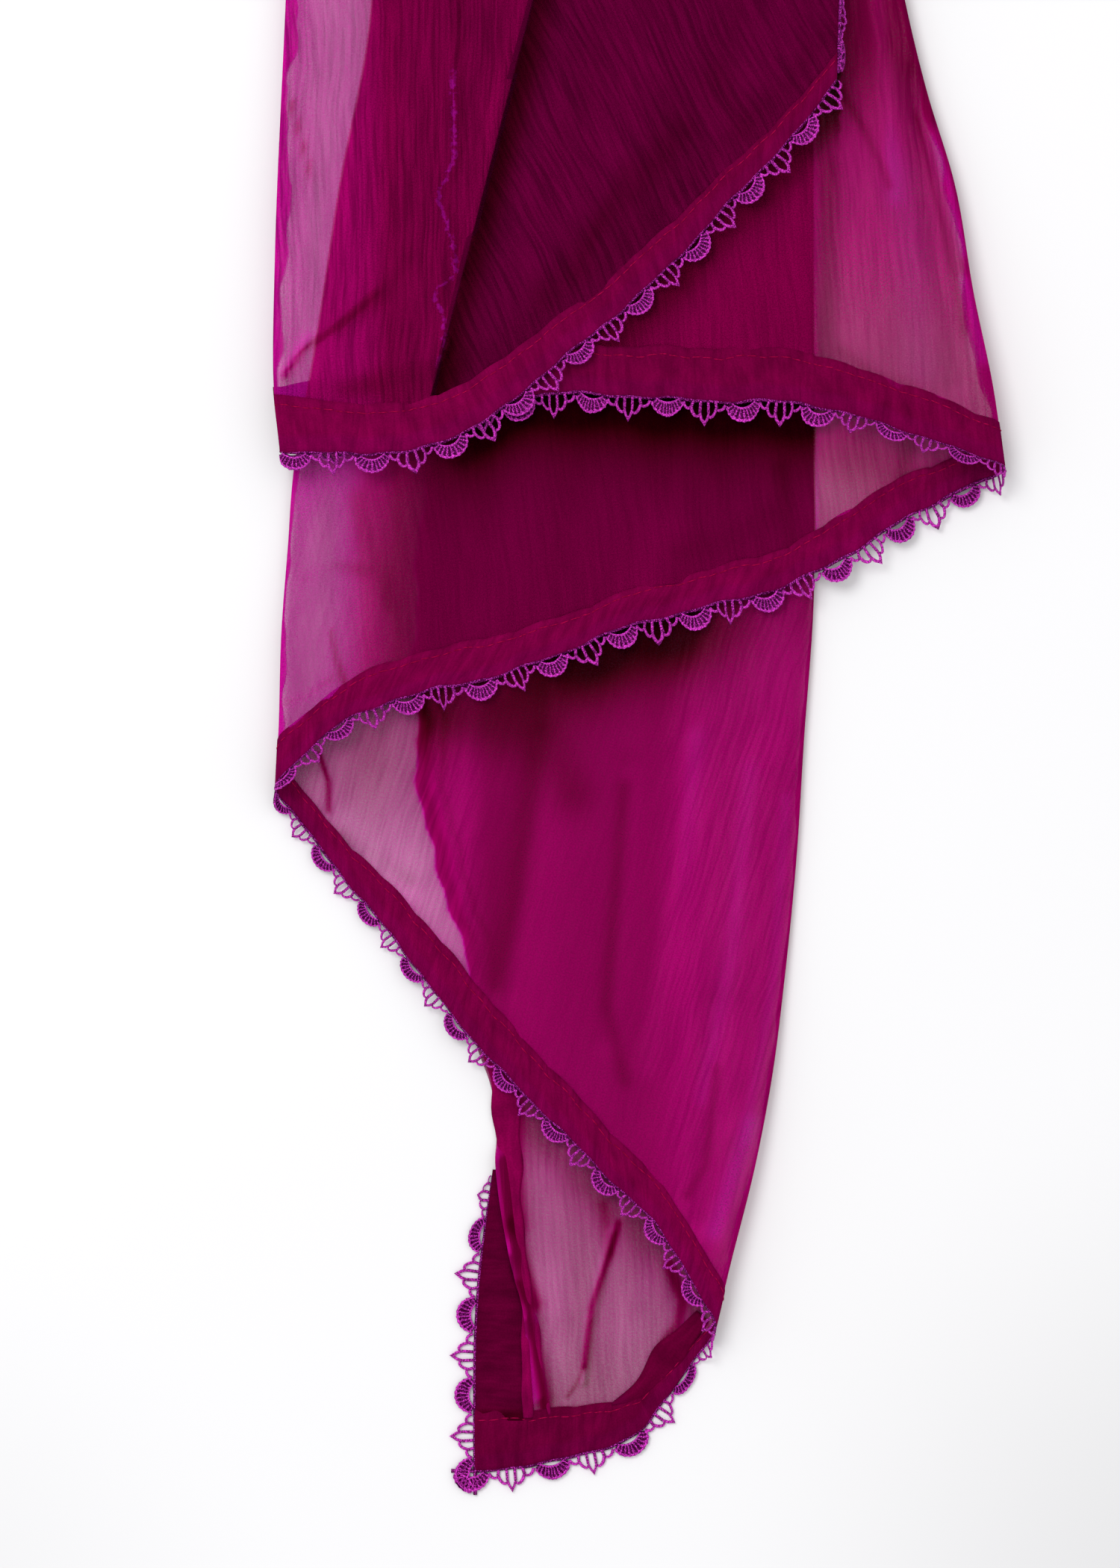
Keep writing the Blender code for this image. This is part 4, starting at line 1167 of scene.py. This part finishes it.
def lace_strip(name, edge, inner, stands_for, fine=True, reach=((0, 1), (1, 1)), over=None):
    """Lace sewn along edge, a row of points, pointing away from inner."""
    sizes = bpy.context.scene.stole_sizes
    run = run_along(edge)
    length = run[-1]
    forward = unit(np.gradient(edge, axis=0))
    out = edge - inner
    out = unit(out - (out * forward).sum(axis=1)[:, None] * forward)
    up = unit(np.cross(out, forward))
    flat, faces = lace_repeat(sizes.lace_depth / MM, sizes.cord / MM, fine)
    if up[:, 2].sum() < 0:
        up = -up
    else:
        faces = [f[::-1] for f in faces]
    repeats = max(1, round(length / LACE_REPEAT))
    stretch_by = length / (repeats * LACE_REPEAT)
    made, uv = [], []
    for n in range(repeats):
        w = np.clip((flat[:, 0] + n * LACE_REPEAT) * stretch_by, 0.05, length - 0.05)
        deep = flat[:, 1] * np.interp(w / length, *zip(*reach))
        spot = read(edge, run, w) + read(out, run, w) * deep[:, None]
        spot += read(up, run, w) * flat[:, 2][:, None]
        spot[:, 2] = np.maximum(spot[:, 2], 0.02)
        if over is not None:
            lifted = height(over, spot[:, 0], spot[:, 1]) + LACE_CLEAR + flat[:, 2]
            spot[:, 2] = np.maximum(spot[:, 2], lifted)
        made.append((spot, faces))
        uv.append(np.stack([w, flat[:, 1]], 1))
    points, faces = joined(made)
    obj = piece(
        name, points, faces, shared("lace_thread", lace_thread),
        uv=np.concatenate(uv), values={"painted_light": np.tile(flat[:, 3], repeats)})
    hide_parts(stands_for)


def stitch_row(path, normals, length, gap, seed):
    """Dashes along a path, each a small rounded bar that lies on the cloth."""
    run = run_along(path)
    wide = np.array([0.08, 0.2, 0.2, 0.08])[:, None]
    tall = np.array([0.05, 0.28, 0.28, 0.05])[:, None]
    made = []
    at, n = 0.8, seed
    while at + length < run[-1]:
        long = length * (0.85 + 0.3 * abs(math.sin(n * 2.1)))
        w = np.array([at, at + 0.25 * long, at + 0.75 * long, at + long])
        spot, up = read(path, run, w), read(normals, run, w)
        side = unit(np.cross(up, unit(spot[-1] - spot[0])))
        spot += side * 0.22 * math.sin(n * 1.7)
        rings = [spot - side * wide, spot + up * tall, spot + side * wide, spot - up * 0.1]
        made.append((np.stack(rings, 1).reshape(-1, 3), tube_faces(4)))
        at += long + gap
        n += 1
    return joined(made)


class STOLE_OT_cloth(bpy.types.Operator):
    """Makes the five stretches of sheer ground cloth, each from its hem to the far end"""

    bl_idname = "stole.cloth"
    bl_label = "Ground cloth"

    def execute(self, context):
        for k in range(len(STRETCHES)):
            sheet_piece(k)
        return {"FINISHED"}


class STOLE_OT_borders(bpy.types.Operator):
    """Makes the folded border along the hem, and the one on the second long side"""

    bl_idname = "stole.borders"
    bl_label = "Hem borders"

    def execute(self, context):
        for k in range(len(STRETCHES)):
            hem_piece(k)
        side_hem_piece()
        for roll in ROLLS:
            roll_piece(roll)
        return {"FINISHED"}


class STOLE_OT_lace(bpy.types.Operator):
    """Sews the scalloped lace along each hem and both long sides"""

    bl_idname = "stole.lace"
    bl_label = "Lace edging"

    def execute(self, context):
        for k, stretch in enumerate(STRETCHES):
            name = stretch.name
            band, _ = with_arcs(k, band_grid(k, 160, 5), 8)
            band[..., 2] = np.maximum(band[..., 2], 0.4)
            if name == "lower":
                # this lace runs on past the corner, over the end of the side's lace
                past = band[:, :1] - np.arange(8, 0, -1)[None, :, None] * (1, 0, 0)
                band = np.concatenate([past, band], axis=1)
            lace_strip(
                name + "_edging", band[0], band[1], name + "_lace",
                reach=LACE_REACH[name], over=None if name == "lower" else k + 1)
        y = np.linspace(-3, 104, 80)
        edge = np.stack([line("side_2", y), y, np.full(80, 0.5)], 1)
        reach = ((0, 1), (0.7, 1), (1, 0.35))
        lace_strip("side_edging", edge, edge + (1, 0, 0), "side_lace", reach=reach)
        y = np.linspace(470, FAR_END - 1, 900)
        x = line("side_1", y)
        hang = LACE_HANG * ease((700 - y) / 130)
        edge = np.stack([x + 0.4 * np.sin(hang), y, height(0, x, y)], 1)
        inner = edge - np.stack([np.cos(hang), 0 * y, -np.sin(hang)], 1)
        lace_strip("front_side_edging", edge, inner, "front_side_lace", fine=False)
        return {"FINISHED"}


class STOLE_OT_stitching(bpy.types.Operator):
    """Runs the row of hem stitches just inside each border"""

    bl_idname = "stole.stitching"
    bl_label = "Hem stitching"

    def execute(self, context):
        sizes = context.scene.stole_sizes
        made = []
        for k in range(len(STRETCHES)):
            grid, _, _ = border_surface(k)
            up = grid_normals(grid)[9]
            made.append(stitch_row(
                grid[9] + up * 0.34, up, sizes.stitch / MM, sizes.stitch_gap / MM, 7 * k))
        points, faces = joined(made)
        piece("hem_stitching", points, faces, shared("sewing_thread", sewing_thread))
        return {"FINISHED"}


class STOLE_OT_far_end(bpy.types.Operator):
    """Finishes the far end of all five layers with the same border and lace"""

    bl_idname = "stole.far_end"
    bl_label = "Far end"

    def execute(self, context):
        t = np.linspace(0, 1, 60)
        y = np.linspace(FAR_HEM_AT, FAR_END, 5)[:, None]
        walls, uv = [], []
        for k, stretch in enumerate(STRETCHES):
            left, right = tangent_line(k, -1, y), tangent_line(k, 1, y)
            plan = np.stack(np.broadcast_arrays(left + t * (right - left), y), -1)
            grid, _ = with_arcs(k, plan, 5)
            walls.append(slab(grid, HEM_THICK))
            uv += [grid[..., :2].reshape(-1, 2)] * 2
            back = grid[-1][::-1]
            name = "far_edging_" + stretch.name
            lace_strip(name, back, back - (0, 1, 0), "far_lace", fine=k == 0)
        points, faces = joined(walls)
        obj = piece(
            "far_border", points, faces, shared("folded_hem", hem_cloth),
            uv=np.concatenate(uv))
        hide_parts("far_hem")
        return {"FINISHED"}


class STOLE_OT_declare(bpy.types.Operator):
    """A step that does nothing."""

    bl_idname = "stole.declare"
    bl_label = "Cut sizes"

    def execute(self, context):
        return {"FINISHED"}


def floor_material(name):
    """Pale and even, with painted shade falling off towards the two near corners."""
    material, tree, shader = new_material(name, {"Roughness": 0.9, "Specular IOR Level": 0.0})
    place = put(tree, "TexCoord", {}, "Object")
    level = place.noise(3.0, 1.0).remap(0.0, 1.0, 0.99, 1.01)
    for corner, reach, drop in CORNER_SHADE:
        away = put(tree, "VectorMath", {0: place, 1: corner}, "Value", operation="DISTANCE")
        level = level * away.remap(0.0, reach, 1 - drop, 1.0, "SMOOTHSTEP")
    surface(shader, scaled(tree, bpy.context.scene.stole_stage.floor, level))
    return material


class STOLE_OT_stage(bpy.types.Operator):
    """Lays the pale floor, and sets the soft lights and the camera straight above"""

    bl_idname = "stole.stage"
    bl_label = "Floor, lights and camera"

    def execute(self, context):
        stage = context.scene.stole_stage
        scene = context.scene
        bpy.ops.object.select_all(action="DESELECT")
        bpy.ops.mesh.primitive_plane_add(size=8, location=(0, 0, -0.0003))
        floor = context.active_object
        floor.name = "floor"
        floor.data.materials.append(floor_material("pale_floor"))
        x = (FRAME_ACROSS - CENTRE_ACROSS) * MM
        y = (FRAME_ALONG - CENTRE_ALONG) * MM
        camera = bpy.data.cameras.new("camera")
        camera.sensor_width = 36.0
        camera.lens = 36.0 * stage.distance / (FRAME_HEIGHT * MM)
        camera.clip_start, camera.clip_end = 0.05, 50
        holder = bpy.data.objects.new("camera", camera)
        holder.location = (x, y, stage.distance)
        scene.collection.objects.link(holder)
        scene.camera = holder
        lamp = bpy.data.lights.new("key", "AREA")
        lamp.shape, lamp.size, lamp.energy = "DISK", 1.2, stage.key
        key = bpy.data.objects.new("key", lamp)
        key.location = (x - 0.9, y + 0.9, 2.0)
        aim = Vector((x, y, 0.0)) - key.location
        key.rotation_euler = aim.to_track_quat("-Z", "Y").to_euler()
        scene.collection.objects.link(key)
        world = bpy.data.worlds.new("room")
        world.use_nodes = True
        light = world.node_tree.nodes["Background"].inputs
        light["Color"].default_value = (1.0, 0.995, 1.0, 1)
        light["Strength"].default_value = stage.sky
        scene.world = world
        scene.view_settings.view_transform = "Standard"
        return {"FINISHED"}


class STOLE_PT_panel(bpy.types.Panel):
    bl_label = "Dupatta stole"
    bl_idname = "STOLE_PT_panel"
    bl_space_type = "VIEW_3D"
    bl_region_type = "UI"
    bl_category = "Stole"

    def draw(self, context):
        for step in OPERATORS:
            self.layout.operator(step.bl_idname)
        for group_name in ("stole_sizes", "stole_colours", "stole_stage"):
            box = self.layout.box()
            owner = getattr(context.scene, group_name)
            for key in owner.__annotations__:
                box.prop(owner, key)


GROUPS = (StoleSizes, StoleColours, StoleStage)
OPERATORS = (
    STOLE_OT_cloth, STOLE_OT_borders, STOLE_OT_lace, STOLE_OT_stitching,
    STOLE_OT_far_end, STOLE_OT_declare, STOLE_OT_stage,
)


def register():
    for cls in (*GROUPS, *OPERATORS, STOLE_PT_panel):
        bpy.utils.register_class(cls)
    bpy.types.Scene.stole_sizes = bpy.props.PointerProperty(type=StoleSizes)
    bpy.types.Scene.stole_colours = bpy.props.PointerProperty(type=StoleColours)
    bpy.types.Scene.stole_stage = bpy.props.PointerProperty(type=StoleStage)


def unregister():
    for key in ("stole_sizes", "stole_colours", "stole_stage"):
        delattr(bpy.types.Scene, key)
    for cls in reversed((*GROUPS, *OPERATORS, STOLE_PT_panel)):
        bpy.utils.unregister_class(cls)


def main():
    register()
    bpy.ops.object.select_all(action="DESELECT")
    bpy.ops.stole.cloth()
    bpy.ops.stole.borders()
    bpy.ops.stole.lace()
    bpy.ops.stole.stitching()
    bpy.ops.stole.far_end()
    bpy.ops.stole.declare()
    bpy.ops.stole.stage()


if __name__ == "__main__":
    main()
